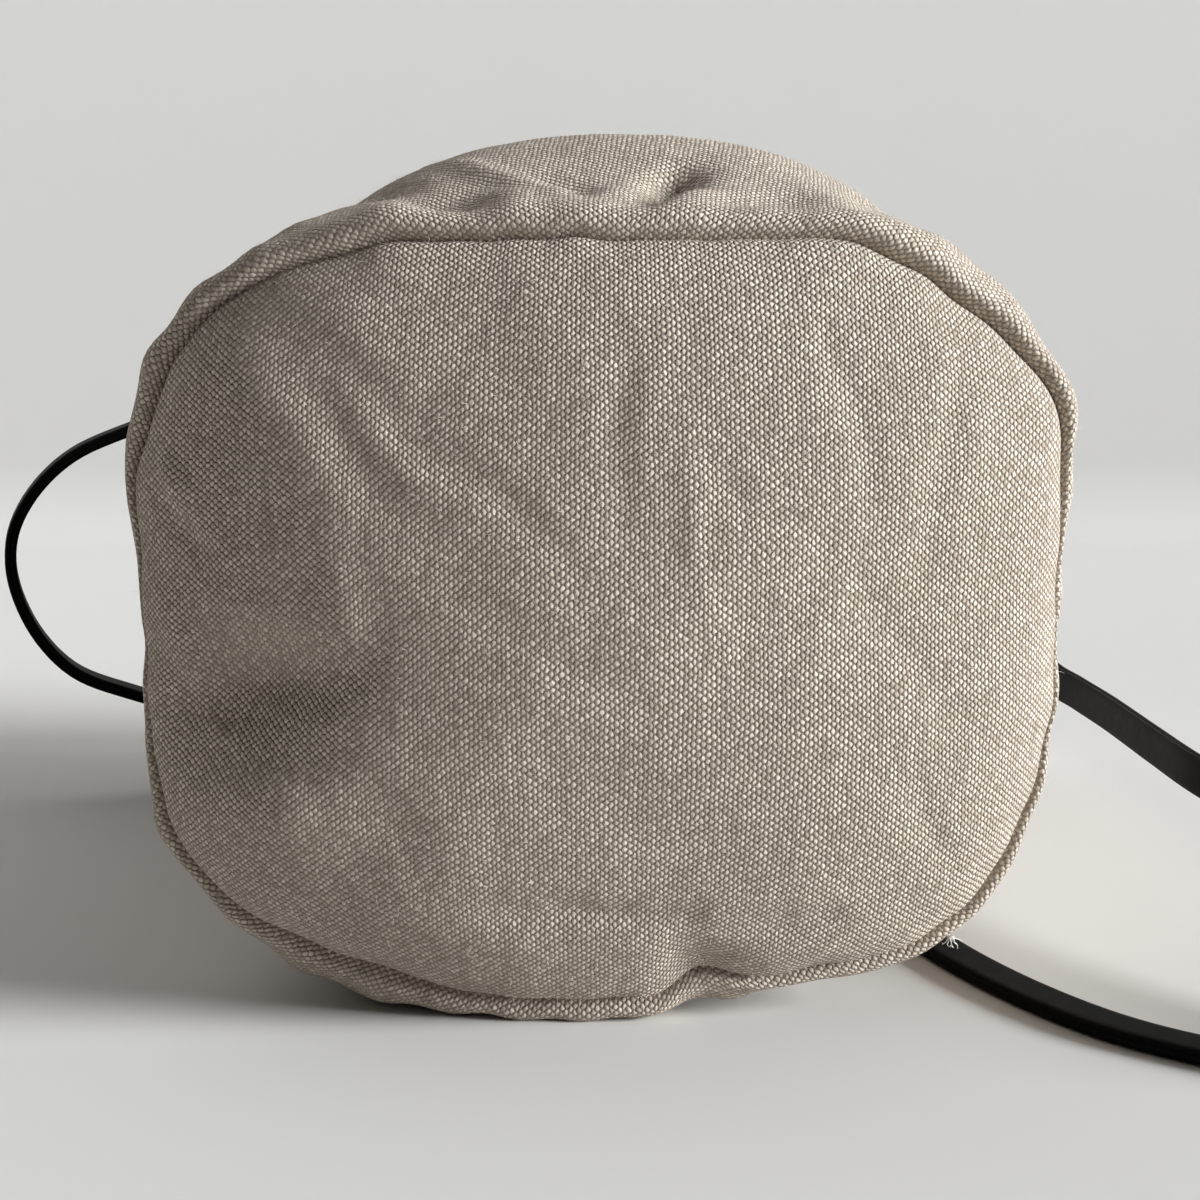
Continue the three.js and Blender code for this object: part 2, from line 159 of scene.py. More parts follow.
# Folds of the wall: from direction round the bag in degrees and depth, to the same, width and height
WALL_FOLDS = (
    (82, 0.016, 80, 0.028, 0.0042, -0.0044),
    (83, 0.006, 82, 0.018, 0.0024, -0.0012),
    (92, 0.010, 99, 0.022, 0.0036, -0.0014),
    (97, 0.012, 114, 0.046, 0.0030, 0.0012),
    (116, 0.020, 127, 0.044, 0.0060, -0.0022),
    (58, 0.012, 50, 0.060, 0.0060, -0.0012),
    (40, 0.014, 34, 0.055, 0.0060, -0.0012),
    (148, 0.014, 156, 0.060, 0.0060, -0.0016),
    (64, 0.080, 74, 0.150, 0.0080, -0.0016),
    (124, 0.080, 116, 0.150, 0.0080, -0.0016),
    (20, 0.030, 24, 0.110, 0.0090, -0.0022),
    (164, 0.040, 160, 0.120, 0.0090, -0.0022),
    (200, 0.030, 206, 0.110, 0.0080, -0.0014),
    (334, 0.030, 330, 0.120, 0.0080, -0.0014),
    (284, 0.004, 282, 0.030, 0.0040, -0.0018),
    (8, 0.090, 14, 0.170, 0.0080, 0.0014),
    (172, 0.090, 168, 0.170, 0.0080, 0.0014),
)
# Folds wander: seed of the noise, how far they go and over what wavelength
WANDER_SEED = 7
FOLD_WANDER = 0.004
FOLD_WANDER_LENGTH = 0.022
# Share of its height that a fold loses towards its ends
FOLD_TAPER = 0.5
# Creases of handled cloth: wavelength, height and softness of each network
CREASES = ((0.044, -0.0011, 0.05), (0.024, 0.0005, 0.06), (0.013, -0.0002, 0.08))
CREASE_WANDER = 0.4
# Share of the folds left at the mouth: at the rivets, and midway between them
MOUTH_CALM = (0.2, 0.7)
# How far the mouth sags inwards midway between the rivets: at its top, sides and bottom, and its ripples
MOUTH_SAG = (0.0055, 0.0025, 0.0)
RIM_RIPPLE = 0.0022
RIM_RIPPLE_LENGTH = 0.030
RIM_RIPPLE_DEPTH = 0.050

# Soft swells over all the cloth: wavelength and height of each
SWELLS = ((0.060, 0.0010), (0.020, 0.0003))

# Small steps over a surface, to find the way out of it
PROBE_TURN = 0.002
PROBE_DEPTH = 0.0002
PROBE_REACH = 0.002
# Extra cloth that the crown's round edge takes up, as a share of its drop
CROWN_TAKE_UP = 0.6
# Share of the way to the seam at which the base's folds begin to fade
SEAM_CALM = 0.90

# Short loop: reach from its rivets, height above the floor, lean of its outer face from up in degrees
SHORT_HEADING = 193
SHORT_LEVEL = 0.016
SHORT_LOOP = (
    (0.038, 0.111, 13), (0.057, 0.106, 16), (0.075, 0.1005, 19), (0.090, 0.094, 32), (0.100, 0.085, 51),
    (0.106, 0.0745, 71), (0.1073, 0.065, 91), (0.1055, 0.0554, 108), (0.100, 0.044, 125),
    (0.091, 0.0345, 146), (0.075, 0.0276, 161), (0.058, 0.022, 157), (0.038, 0.0114, 160),
)

# Long loop: place across, depth behind the base seam and height, then its outer face's direction
LONG_UPPER_HEADING = 37
LONG_UPPER_LEVEL = 0.032
LONG_LOWER_HEADING = -90
LONG_LOWER_LEVEL = 0.014
LONG_LOOP = (
    (0.094, 0.236, 0.106, 0.4, 0.25, 0.87), (0.108, 0.246, 0.090, 0.8, 0.3, 0.5),
    (0.117, 0.249, 0.069, 0.95, 0.25, 0.2), (0.122, 0.244, 0.048, 1, 0.15, 0.05),
    (0.125, 0.232, 0.034, 1, 0, 0), (0.1285, 0.214, 0.028, 1, 0, 0), (0.132, 0.190, 0.0276, 1, 0, 0),
    (0.1345, 0.160, 0.0286, 1, 0, 0),
    (0.1368, 0.115, 0.0302, 1, 0, 0), (0.139, 0.080, 0.0314, 1, 0.1, 0),
    (0.145, 0.056, 0.0305, 1, 0.2, 0), (0.153, 0.032, 0.0275, 0.95, 0.25, -0.05),
    (0.160, 0.008, 0.022, 0.95, 0.2, -0.2), (0.164, -0.014, 0.015, 0.85, -0.1, -0.5),
    (0.159, -0.032, 0.009, 0.5, -0.4, -0.75), (0.146, -0.039, 0.0044, 0.1, -0.3, -0.94),
    (0.130, -0.0325, 0.0023, 0, 0, -1), (0.116, -0.0227, 0.0019, 0, 0, -1),
    (0.1023, -0.0101, 0.0019, 0, 0, -1), (0.0877, 0.012, 0.0019, 0, 0, -1),
    (0.0743, 0.0426, 0.0019, 0, 0, -1), (0.066, 0.076, 0.0019, 0, 0, -1),
    (0.060, 0.112, 0.0019, 0, 0, -1), (0.0565, 0.148, 0.002, 0, 0, -1),
    (0.055, 0.173, 0.0036, 0, 0, -1),
)
STRAP_TAIL = 0.007
STRAP_RISE = 0.0535
STRAP_STEP = 0.0025
SPAN_STEPS = 16
STRAP_END_STEPS = 6
# Points closer than this are one
MERGE_DISTANCE = 0.000001

# Rivets
RIVET_X = (CAP_LOW.x + CAP_HIGH.x) / 2
RIVET_Y = (CAP_LOW.y + CAP_HIGH.y) / 2
MOUTH_CENTRE = 0.060
RIVET_STEPS = 48

# Camera and stage
CAMERA_AT = (0, SEAM_Y - 0.486, 0.170)
CAMERA_PITCH = 9.76
CAMERA_LENS = 75
CAMERA_SENSOR = 36
CAMERA_CLIP = 0.01
WALL_Y = SEAM_Y + 0.680
STAGE_HALF_WIDTH = 8
STAGE_FRONT = -8
STAGE_HEIGHT = 6
BACKDROP_BLEND = 0.35
COVE_RADIUS = 0.035
COVE_STEPS = 12
KEY_AT = (3.786, -0.850, 1.115)
KEY_TARGET = (0, -0.08, 0.08)
KEY_SPREAD = 24
FILL_AT = (-0.55, 0.40, 0.85)
FILL_TARGET = (-0.15, -0.05, 0)
FILL_SIZE = 0.8


class ClothSettings(bpy.types.PropertyGroup):
    """Sizes and colours of the cloth."""
    base_width: FloatProperty(
        name="Base width", description="Width of the base between its side seams",
        default=BASE_HIGH.x - BASE_LOW.x, unit="LENGTH")
    base_height: FloatProperty(
        name="Base height", description="Height of the base as the bag lies",
        default=BASE_HIGH.z - BASE_LOW.z, unit="LENGTH")
    base_lift: FloatProperty(
        name="Base lift", description="Height of the base seam above the floor",
        default=BASE_LOW.z, unit="LENGTH")
    crown: FloatProperty(
        name="Base crown", description="How far the base swells out past its seam",
        default=SEAM_Y - BASE_LOW.y + CROWN_FULLNESS, unit="LENGTH")
    body_width: FloatProperty(
        name="Body width", description="Width of the bag at its fullest", default=0.184, unit="LENGTH")
    body_height: FloatProperty(
        name="Body height", description="Height of the bag at its fullest, as it lies",
        default=0.178, unit="LENGTH")
    mouth_width: FloatProperty(
        name="Mouth width", description="Width of the bag at its rim",
        default=FRONT_HIGH.x - FRONT_LOW.x, unit="LENGTH")
    mouth_height: FloatProperty(
        name="Mouth height", description="Height of the bag at its rim", default=0.104, unit="LENGTH")
    depth: FloatProperty(
        name="Depth", description="Length of the wall from base seam to rim",
        default=FRONT_HIGH.y - SEAM_Y, unit="LENGTH")
    warp_pitch: FloatProperty(
        name="Warp pitch", description="Distance between the linen's warp threads",
        default=0.00096, precision=5, unit="LENGTH")
    weft_pitch: FloatProperty(
        name="Weft pitch", description="Distance between the linen's weft threads",
        default=0.00076, precision=5, unit="LENGTH")
    warp_colour: FloatVectorProperty(
        name="Warp", description="Colour of the linen's pale threads",
        default=(0.63, 0.548, 0.462), size=3, subtype="COLOR")
    weft_colour: FloatVectorProperty(
        name="Weft", description="Colour of the linen's darker threads",
        default=(0.515, 0.427, 0.339), size=3, subtype="COLOR")
    # Painted shade: a dark colour that stands for the shadow deep in the gaps between the linen's threads
    gap_shade_colour: FloatVectorProperty(
        name="Gaps", description="Colour deep between the linen's threads",
        default=(0.375, 0.312, 0.246), size=3, subtype="COLOR")
    lining_colour: FloatVectorProperty(
        name="Lining", description="Colour of the cotton lining",
        default=(0.68, 0.63, 0.54), size=3, subtype="COLOR")
    thread_colour: FloatVectorProperty(
        name="Sewing thread", description="Colour of the sewing thread",
        default=(0.80, 0.77, 0.71), size=3, subtype="COLOR")


class StrapSettings(bpy.types.PropertyGroup):
    """Sizes and colours of the leather handles and their rivets."""
    width: FloatProperty(
        name="Strap width", description="Width of each leather strap", default=0.009, unit="LENGTH")
    thickness: FloatProperty(
        name="Strap thickness", description="Thickness of the two bonded layers",
        default=0.003, unit="LENGTH")
    leather_colour: FloatVectorProperty(
        name="Leather", description="Colour of the dyed leather",
        default=(0.0032, 0.003, 0.003), size=3, subtype="COLOR")
    cap_diameter: FloatProperty(
        name="Rivet cap", description="Diameter of each rivet's cap",
        default=CAP_HIGH.x - CAP_LOW.x, unit="LENGTH")
    post_diameter: FloatProperty(
        name="Rivet post", description="Diameter of each rivet's post", default=0.0035, unit="LENGTH")
    metal_colour: FloatVectorProperty(
        name="Metal", description="Colour of the rivets' plating",
        default=(0.045, 0.042, 0.040), size=3, subtype="COLOR")


class StageSettings(bpy.types.PropertyGroup):
    """Floor, backdrop and lamps."""
    floor_colour: FloatVectorProperty(
        name="Floor", description="Colour of the floor",
        default=(0.80, 0.78, 0.755), size=3, subtype="COLOR")
    backdrop_colour: FloatVectorProperty(
        name="Backdrop", description="Colour of the board high behind the bag",
        default=(0.94, 0.92, 0.895), size=3, subtype="COLOR")
    key_level: FloatProperty(
        name="Key light", description="Strength of the soft light from the right, in W/m2",
        default=6.8)
    key_colour: FloatVectorProperty(
        name="Key colour", description="Colour of the soft light from the right", subtype="COLOR",
        default=(0.935, 0.972, 1.0), size=3)
    fill_power: FloatProperty(
        name="Fill lamp", description="Power of the weak lamp above the left, in watts", default=1.1)
    room_colour: FloatVectorProperty(
        name="Room", description="Colour of the light from all round",
        default=(0.97, 0.985, 1.0), size=3, subtype="COLOR")
    room_level: FloatProperty(
        name="Room light", description="Brightness of the light from all round", default=0.02)
    room_seen: FloatProperty(
        name="Room seen", description="Brightness of the room past the floor and backdrop", default=0.6)


def clamped(share):
    """A share kept between 0 and 1."""
    return min(max(share, 0), 1)


def smoothstep(value, low, high):
    """Rises smoothly from 0 at low to 1 at high."""
    share = clamped((value - low) / (high - low))
    return share * share * (3 - 2 * share)


def lerp(low, high, share):
    """The value at a share of the way from low to high."""
    return low + (high - low) * share


def bell(distance, width):
    """A smooth bump, 1 at no distance and near 0 past twice the width."""
    return math.exp(-(distance / width) ** 2)


def side_share(angle):
    """How far a direction round the bag looks to its left or right side, 0 to 1."""
    return math.cos(angle) ** 2


class Section:
    """A cross-section of the bag: half its width, its lowest and highest points and its squareness."""

    def __init__(self, half_width, lowest, highest, squareness):
        self.sizes = (half_width, lowest, highest, squareness)

    def towards(self, other, share):
        return Section(*(lerp(here, there, share) for here, there in zip(self.sizes, other.sizes)))

    def grown(self, amount):
        half_width, lowest, highest, squareness = self.sizes
        return Section(half_width + amount, lowest - amount, highest + amount, squareness)

    def centre(self):
        return (self.sizes[1] + self.sizes[2]) / 2

    def radius(self, angle):
        half_width, lowest, highest, squareness = self.sizes
        if math.sin(angle) < 0:
            squareness = max(squareness, FLOOR_SQUARENESS)
        across = abs(math.cos(angle) / half_width) ** squareness
        upwards = abs(math.sin(angle) * 2 / (highest - lowest)) ** squareness
        return (across + upwards) ** (-1 / squareness)


def degrees_between(angle, middle):
    """The turn between a direction and one given in degrees, either way round."""
    apart = abs(math.degrees(angle) % 360 - middle)
    return min(apart, 360 - apart)


def seam_wave(angle, depth=0):
    """How far the seam, or the wall behind it, lies outside its even oval at a direction round the bag."""
    wavelength, height, fade = SEAM_RIPPLE
    around = Vector((math.cos(angle), math.sin(angle), 0)) * RIPPLE_RADIUS
    total = height * noise.noise(around / wavelength) * (1 - smoothstep(depth, 0, fade))
    for middle, spread, shift, reach in SEAM_WAVES:
        total += shift * bell(degrees_between(angle, middle), spread) * (1 - smoothstep(depth, 0, reach))
    return total


def slack(angle):
    """How far a direction round the mouth is from the rivets, from 0 at each to 1 midway."""
    return math.cos(2 * angle) ** 2


def mouth_sag(angle):
    """How far the mouth's cloth sags inwards, at a direction round the bag."""
    top, sides, bottom = MOUTH_SAG
    upright = top if math.sin(angle) > 0 else bottom
    return slack(angle) * lerp(upright, sides, side_share(angle))


def roll_share(angle):
    """How full the roll over the seam is: none at the bag's sides, thin along some stretches."""
    share = 1 - side_share(angle) ** ROLL_FADE
    for middle, spread, loss in THIN_ROLLS:
        share *= 1 - loss * bell(degrees_between(angle, middle), spread)
    return share


def stroke_height(strokes, place):
    """The summed height of fold strokes at a place on the cloth. Each dies away towards its ends."""
    wander = noise.noise_vector(place.to_3d() / FOLD_WANDER_LENGTH) * FOLD_WANDER
    place = place + wander.to_2d()
    total = 0
    for start, end, width, height in strokes:
        along = end - start
        share = clamped((place - start).dot(along) / along.length_squared)
        taper = 1 - FOLD_TAPER * (2 * share - 1) ** 2
        nearest = start + along * share
        total += height * taper * bell((place - nearest).length, width)
    return total


def handled_height(point):
    """Soft swells and a network of fine creases, as cloth has that has been folded and used."""
    total = sum(height * noise.noise(point / wavelength) for wavelength, height in SWELLS)
    for wavelength, height, softness in CREASES:
        place = point / wavelength
        place = place + noise.noise_vector(place) * CREASE_WANDER
        total += height * math.sqrt(noise.noise(place) ** 2 + softness ** 2)
    return total


class BagShape:
    """Where the cloth lies: the base's and the wall's points, with their folds."""

    def __init__(self, cloth):
        noise.seed_set(WANDER_SEED)
        self.cloth = cloth
        top = cloth.base_lift + cloth.base_height
        self.base = Section(cloth.base_width / 2, cloth.base_lift, top, BASE_SQUARENESS)
        self.body = Section(cloth.body_width / 2, -FLOOR_SINK, cloth.body_height, BODY_SQUARENESS)
        mouth_top = MOUTH_LIFT + cloth.mouth_height
        self.mouth = Section(cloth.mouth_width / 2, MOUTH_LIFT, mouth_top, MOUTH_SQUARENESS)
        self.wall_scale = (cloth.body_width + cloth.body_height) / 4
        self.base_folds = [
            (Vector((x, z)), Vector((end_x, end_z)), width, height)
            for x, z, end_x, end_z, width, height in BASE_FOLDS]
        self.wall_folds = [
            (self.wall_place(math.radians(angle), depth), self.wall_place(math.radians(end), end_depth),
             width, height)
            for angle, depth, end, end_depth, width, height in WALL_FOLDS]

    def wall_place(self, angle, depth):
        """The wall rolled out flat, for measuring distances to folds."""
        return Vector((angle * self.wall_scale, depth))

    def section_at(self, angle, depth):
        """The cross-section at a depth behind the base seam, seen towards a direction."""
        start = 1 - clamped(depth / ROLL_DEPTH)
        roll = math.sqrt(1 - start ** 2) * roll_share(angle)
        rolled = self.base.grown(ROLL_SWELL * roll)
        return rolled.towards(self.body, self.swell_at(depth)).towards(self.mouth, self.flatten_at(depth))

    def swell_at(self, depth):
        """How far the wall has swelled from base to body, 0 to 1."""
        return smoothstep(depth, 0, SWELL_DEPTH)

    def flatten_at(self, depth):
        """How far the wall has flattened from body to mouth, 0 to 1."""
        return smoothstep(depth, BULGE_DEPTH, self.cloth.depth - MOUTH_BAND)

    def wall_point(self, angle, depth, edge_distance):
        """A point of the wall's outside. The edge distance is to the nearest side seam."""
        section = self.section_at(angle, depth)
        to_rim = self.cloth.depth - depth
        roll = roll_share(angle)
        radius = section.radius(angle)
        radius += seam_wave(angle, depth)
        radius += RIDGE_HEIGHT * bell(depth - RIDGE_DEPTH, RIDGE_WIDTH) * roll
        radius -= SEAM_LIP * math.exp(-depth / SEAM_GAP)
        radius -= SIDE_GROOVE * bell(edge_distance, SIDE_GROOVE_WIDTH) * self.swell_at(depth)
        radius -= mouth_sag(angle) * self.flatten_at(depth)
        lip = clamped(1 - to_rim / RIM_LIP)
        radius -= RIM_LIP * (1 - math.sqrt(1 - lip ** 2))
        set_back = SEAM_SETBACK * side_share(angle) * (1 - smoothstep(depth, 0, BULGE_DEPTH))
        forward = ROLL_FORWARD * depth / ROLL_FRONT * math.exp(1 - depth / ROLL_FRONT)
        around = Vector((math.cos(angle), math.sin(angle), 1)) * self.wall_scale / RIM_RIPPLE_LENGTH
        ripple = RIM_RIPPLE * noise.noise(around) * (1 - smoothstep(to_rim, 0, RIM_RIPPLE_DEPTH))
        ripple *= slack(angle)
        gap = SEAM_GAP * (1 - smoothstep(depth, 0, ROLL_DEPTH))
        y = SEAM_Y + gap + depth + set_back - forward + ripple
        x = radius * math.cos(angle) + BODY_LEAN * self.swell_at(depth) * (1 - self.flatten_at(depth))
        return Vector((x, y, section.centre() + radius * math.sin(angle)))

    def wall_fold(self, angle, depth, point):
        """How far folds lift the wall off its plain form, calmer at the seam and the mouth."""
        calm = lerp(1, lerp(*MOUTH_CALM, slack(angle)), self.flatten_at(depth))
        calm *= smoothstep(depth, 0, RIDGE_DEPTH)
        place = self.wall_place(angle, depth)
        length_around, length_back = PUCKER_LENGTH
        ripple = noise.noise(Vector((place.x / length_around, place.y / length_back, 0)))
        pucker = PUCKER_HEIGHT * ripple * bell(depth - PUCKER_DEPTH, PUCKER_WIDTH)
        return calm * (stroke_height(self.wall_folds, place) + handled_height(point) + pucker)

    def wall_surface(self, angle, depth):
        """A point of the wall with its folds, and the way out of the bag there."""
        from_side = angle % math.pi
        edge_distance = min(from_side, math.pi - from_side) * self.wall_scale
        point = self.wall_point(angle, depth, edge_distance)
        around = self.wall_point(angle + PROBE_TURN, depth, edge_distance) - point
        along = self.wall_point(angle, depth + PROBE_DEPTH, edge_distance) - point
        outwards = along.cross(around).normalized()
        return point + outwards * self.wall_fold(angle, depth, point), outwards

    def base_surface(self, angle, reach):
        """A point of the base with its folds, and the way out of the bag there."""
        point = self.base_point(angle, reach)
        around = self.base_point(angle + PROBE_TURN, reach) - point
        inwards = self.base_point(angle, reach - PROBE_REACH) - point
        outwards = around.cross(inwards).normalized()
        return point + outwards * self.base_fold(point, reach), outwards

    def base_point(self, angle, reach):
        """A point of the base's outside, from its middle at reach 0 to its seam at reach 1."""
        profile = (1 - reach ** CROWN_SQUARENESS) ** (1 / CROWN_SQUARENESS)
        radius = self.base.radius(angle) * reach + seam_wave(angle) * reach ** WAVE_FADE
        radius -= RIM_CURL * smoothstep(reach, RIM_CURL_FROM, 1)
        y = SEAM_Y + lerp(SEAM_SETBACK * side_share(angle), -self.cloth.crown, profile)
        return Vector((radius * math.cos(angle), y, self.base.centre() + radius * math.sin(angle)))

    def base_flat(self, angle, reach):
        """Where a point of the base lies on the flat cloth it was cut from."""
        profile = (1 - reach ** CROWN_SQUARENESS) ** (1 / CROWN_SQUARENESS)
        drop = self.cloth.crown + SEAM_SETBACK * side_share(angle)
        length = self.base.radius(angle) * reach + CROWN_TAKE_UP * drop * (1 - profile)
        return Vector((length * math.cos(angle), length * math.sin(angle)))

    def base_fold(self, point, reach):
        """How far folds lift the base off its plain form, calmer at the seam."""
        calm = 1 - smoothstep(reach, SEAM_CALM, 1)
        return calm * (stroke_height(self.base_folds, Vector((point.x, point.z))) + handled_height(point))


def sum_operator(operation):
    """An operator between shader values, and its reflected form for a number on its left."""
    def forward(value, other):
        return value.math(operation, other)

    def reflected(value, other):
        return value.look.node("ShaderNodeMath", {"operation": operation}, {0: other, 1: value})

    return forward, reflected


class Socket:
    """A shader value that takes part in sums: each operator adds the Math node that it stands for."""
    __add__, __radd__ = sum_operator("ADD")
    __sub__, __rsub__ = sum_operator("SUBTRACT")
    __mul__, __rmul__ = sum_operator("MULTIPLY")
    __truediv__, __rtruediv__ = sum_operator("DIVIDE")
    __pow__, __rpow__ = sum_operator("POWER")

    def __init__(self, look, link):
        self.look = look
        self.link = link

    def math(self, operation, *others):
        inputs = dict(enumerate((self, *others)))
        return self.look.node("ShaderNodeMath", {"operation": operation}, inputs)


class Look:
    """A material, or the world, and the nodes that make it."""

    def __init__(self, owner):
        owner.use_nodes = True
        self.nodes = owner.node_tree.nodes
        self.links = owner.node_tree.links
        self.nodes.clear()

    def node(self, kind, settings, inputs, output=0):
        """Adds a node, sets it up, feeds its sockets and returns one of its outputs."""
        made = self.nodes.new(kind)
        for name, value in settings.items():
            setattr(made, name, value)
        for name, value in inputs.items():
            if isinstance(value, Socket):
                self.links.new(value.link, made.inputs[name])
            else:
                made.inputs[name].default_value = value
        return Socket(self, made.outputs[output]) if made.outputs else None

    def mix(self, share, low, high):
        """A colour between two, by a share from 0 to 1."""
        settings = {"data_type": "RGBA", "clamp_factor": True}
        inputs = {0: share, 6: low, 7: high}
        return self.node("ShaderNodeMix", settings, inputs, 2)

    def shade(self, colour, factor):
        """A colour made lighter or darker by a factor."""
        grey = self.node("ShaderNodeCombineXYZ", {}, {0: factor, 1: factor, 2: factor})
        settings = {"operation": "MULTIPLY"}
        return self.node("ShaderNodeVectorMath", settings, {0: colour, 1: grey})

    def noise(self, place, scale, detail=2, roughness=0.5):
        """Even noise around one half, at a number of swells to the metre."""
        inputs = {"Vector": place, "Scale": scale, "Detail": detail, "Roughness": roughness}
        return self.node("ShaderNodeTexNoise", {}, inputs, "Fac")

    def place(self):
        """Where a point of the surface lies in the part's frame, in metres."""
        return self.node("ShaderNodeTexCoord", {}, {}, "Object")

    def split(self, vector):
        made = self.node("ShaderNodeSeparateXYZ", {}, {0: vector}).link.node
        return [Socket(self, output) for output in made.outputs]

    def join(self, x, y):
        return self.node("ShaderNodeCombineXYZ", {}, {0: x, 1: y})

    def cloth_map(self):
        """Where a point of the cloth lay on its flat sheet, in metres."""
        return self.node("ShaderNodeUVMap", {"uv_map": FLAT_MAP}, {})

    def bump(self, height, distance, strength=1):
        inputs = {"Height": height, "Distance": distance, "Strength": strength}
        return self.node("ShaderNodeBump", {}, inputs)

    def finish(self, inputs):
        """Closes the material with a Principled shader."""
        shader = self.node("ShaderNodeBsdfPrincipled", {}, inputs)
        self.node("ShaderNodeOutputMaterial", {}, {"Surface": shader})


def rgba(colour):
    return (*colour, 1)


# Wander of the threads: swells to the metre, and reach
WANDERS = ((220, 0.0009), (1000, 0.0006))
# A bead of thread, as shares of a thread's width and of a stitch
BEAD_WIDTH = 0.66
BEAD_LENGTH = 0.45
BEAD_ROUNDNESS = 0.55
# Slubs, the thick and thin places along a thread, and how far apart neighbours are in their noise
THREAD_SPREAD = 23.7
SLUB_SCALE = 0.04
SLUB_DETAIL = 4
SLUB_ROUGHNESS = 0.65

# Linen: tone of a thread and how far its slubs, specks and patches shift it
LINEN_TONE = 0.53
TONE_OF_SLUB = 0.72
TONE_OF_SPECK = 0.36
TONE_OF_PATCH = 0.12
# Share of pale yarn in a thread, by its stains and specks, less an even share
PALE_OF_STAIN = 0.8
PALE_OF_SPECK = 0.6
PALE_LESS = 0.2
# How sharply a bead rises out of the painted shade between threads, and how much of its foot keeps that
# painted shade
BEAD_CONTRAST = 2.3
BEAD_SHADED_FOOT = 0.4
# Relief of the linen: its depth, and the height of a bead, its slubs, its specks and the fuzz
LINEN_RELIEF = 0.0006
BEAD_HEIGHT = 0.62
HEIGHT_OF_SLUB = 0.5
HEIGHT_OF_SPECK = 0.25
HEIGHT_OF_FUZZ = 0.15

# Lining: tone between its threads, darkened there as painted shade, and how far beads and slubs lift it
LINING_PITCH = 0.00045
LINING_RELIEF = 0.00012
LINING_TONE = 0.62
LINING_GAP_SHADE = 0.26
LINING_TONE_OF_SLUB = 0.3

# Other finishes: least and greatest tone and roughness, depth of relief, height of the leather's grain
LEATHER_TONES = (0.72, 1.32)
LEATHER_ROUGHNESS = (0.44, 0.62)
LEATHER_RELIEF = 0.00007
CELL_HEIGHT = 0.8
PORE_HEIGHT = 0.5
METAL_TONES = (0.8, 1.5)
METAL_ROUGHNESS = (0.24, 0.44)
METAL_RELIEF = 0.00004
THREAD_TONES = (0.75, 1.25)
THREAD_RELIEF = 0.0001
BOARD_TONES = (0.97, 1.03)


def bead_set(warps, rows, shift):
    """One of the weave's two staggered sets of beads: its height and the numbers of its thread and row."""
    pairs = warps / 2 + shift
    steps = rows + shift
    aside = (pairs.math("FRACT") - 0.5) * 2 / BEAD_WIDTH
    aloft = (steps.math("FRACT") - 0.5) / BEAD_LENGTH
    height = (1 - aside * aside - aloft * aloft).math("MAXIMUM", 0) ** BEAD_ROUNDNESS
    return height, pairs.math("FLOOR") * 2 - shift, steps.math("FLOOR")


def weave(look, warp_pitch, weft_pitch):
    """A close warp-faced plain weave on the flat cloth: its beads, slubs and a number for each bead."""
    flat = look.cloth_map()
    for scale, wander in WANDERS:
        even = look.node("ShaderNodeTexNoise", {}, {"Vector": look.place(), "Scale": scale}, "Color")
        settings = {"operation": "MULTIPLY_ADD"}
        flat = look.node("ShaderNodeVectorMath", settings, {0: even, 1: (wander, wander, wander), 2: flat})
    across, along, _ = look.split(flat)
    warps = across / warp_pitch
    rows = along / (2 * weft_pitch)
    first, first_thread, first_row = bead_set(warps, rows, 0)
    second, second_thread, second_row = bead_set(warps, rows, 0.5)
    upper = first.math("GREATER_THAN", second)
    column = second_thread + upper * (first_thread - second_thread)
    row = second_row + upper * (first_row - second_row)
    thread = look.join(column * THREAD_SPREAD, rows)
    slub = look.noise(thread, SLUB_SCALE, SLUB_DETAIL, SLUB_ROUGHNESS)
    stitch = look.join(column, row)
    speck = look.node("ShaderNodeTexWhiteNoise", {"noise_dimensions": "2D"}, {"Vector": stitch}, "Value")
    return first.math("MAXIMUM", second), slub, speck


def linen_look(look, cloth):
    """Natural linen canvas: pale beads of warp with painted shade between them, each thread and bead its
    own.
    """
    bead, slub, speck = weave(look, cloth.warp_pitch, cloth.weft_pitch)
    patch = look.noise(look.place(), scale=55, detail=3)
    stain = look.noise(look.place(), scale=420, roughness=0.7)
    fuzz = look.noise(look.place(), scale=5200)
    tone = LINEN_TONE + slub * TONE_OF_SLUB + speck * TONE_OF_SPECK - patch * TONE_OF_PATCH
    pale = stain * PALE_OF_STAIN + speck * PALE_OF_SPECK - PALE_LESS
    yarn = look.mix(pale, rgba(cloth.weft_colour), rgba(cloth.warp_colour))
    # Where a bead sinks low, its foot and the gap beside it take the painted shade of the gap colour
    lit = bead * BEAD_CONTRAST - BEAD_SHADED_FOOT
    colour = look.mix(lit, rgba(cloth.gap_shade_colour), look.shade(yarn, tone))
    plump = BEAD_HEIGHT + slub * HEIGHT_OF_SLUB + speck * HEIGHT_OF_SPECK
    normal = look.bump(bead * plump + fuzz * HEIGHT_OF_FUZZ, LINEN_RELIEF)
    look.finish({
        "Base Color": colour, "Roughness": 0.94, "Normal": normal, "Specular IOR Level": 0.2,
        "Sheen Weight": 0.05, "Sheen Roughness": 0.6})


def lining_look(look, cloth):
    """Fine undyed cotton, with painted shade between its threads."""
    bead, slub, _ = weave(look, LINING_PITCH, LINING_PITCH)
    # Lower places between the beads get a darker tone: painted shade between the threads
    tone = LINING_TONE + bead * LINING_GAP_SHADE + slub * LINING_TONE_OF_SLUB
    colour = look.shade(tuple(cloth.lining_colour), tone)
    normal = look.bump(bead + slub, LINING_RELIEF)
    look.finish({
        "Base Color": colour, "Roughness": 0.92, "Normal": normal, "Specular IOR Level": 0.2,
        "Sheen Weight": 0.1})


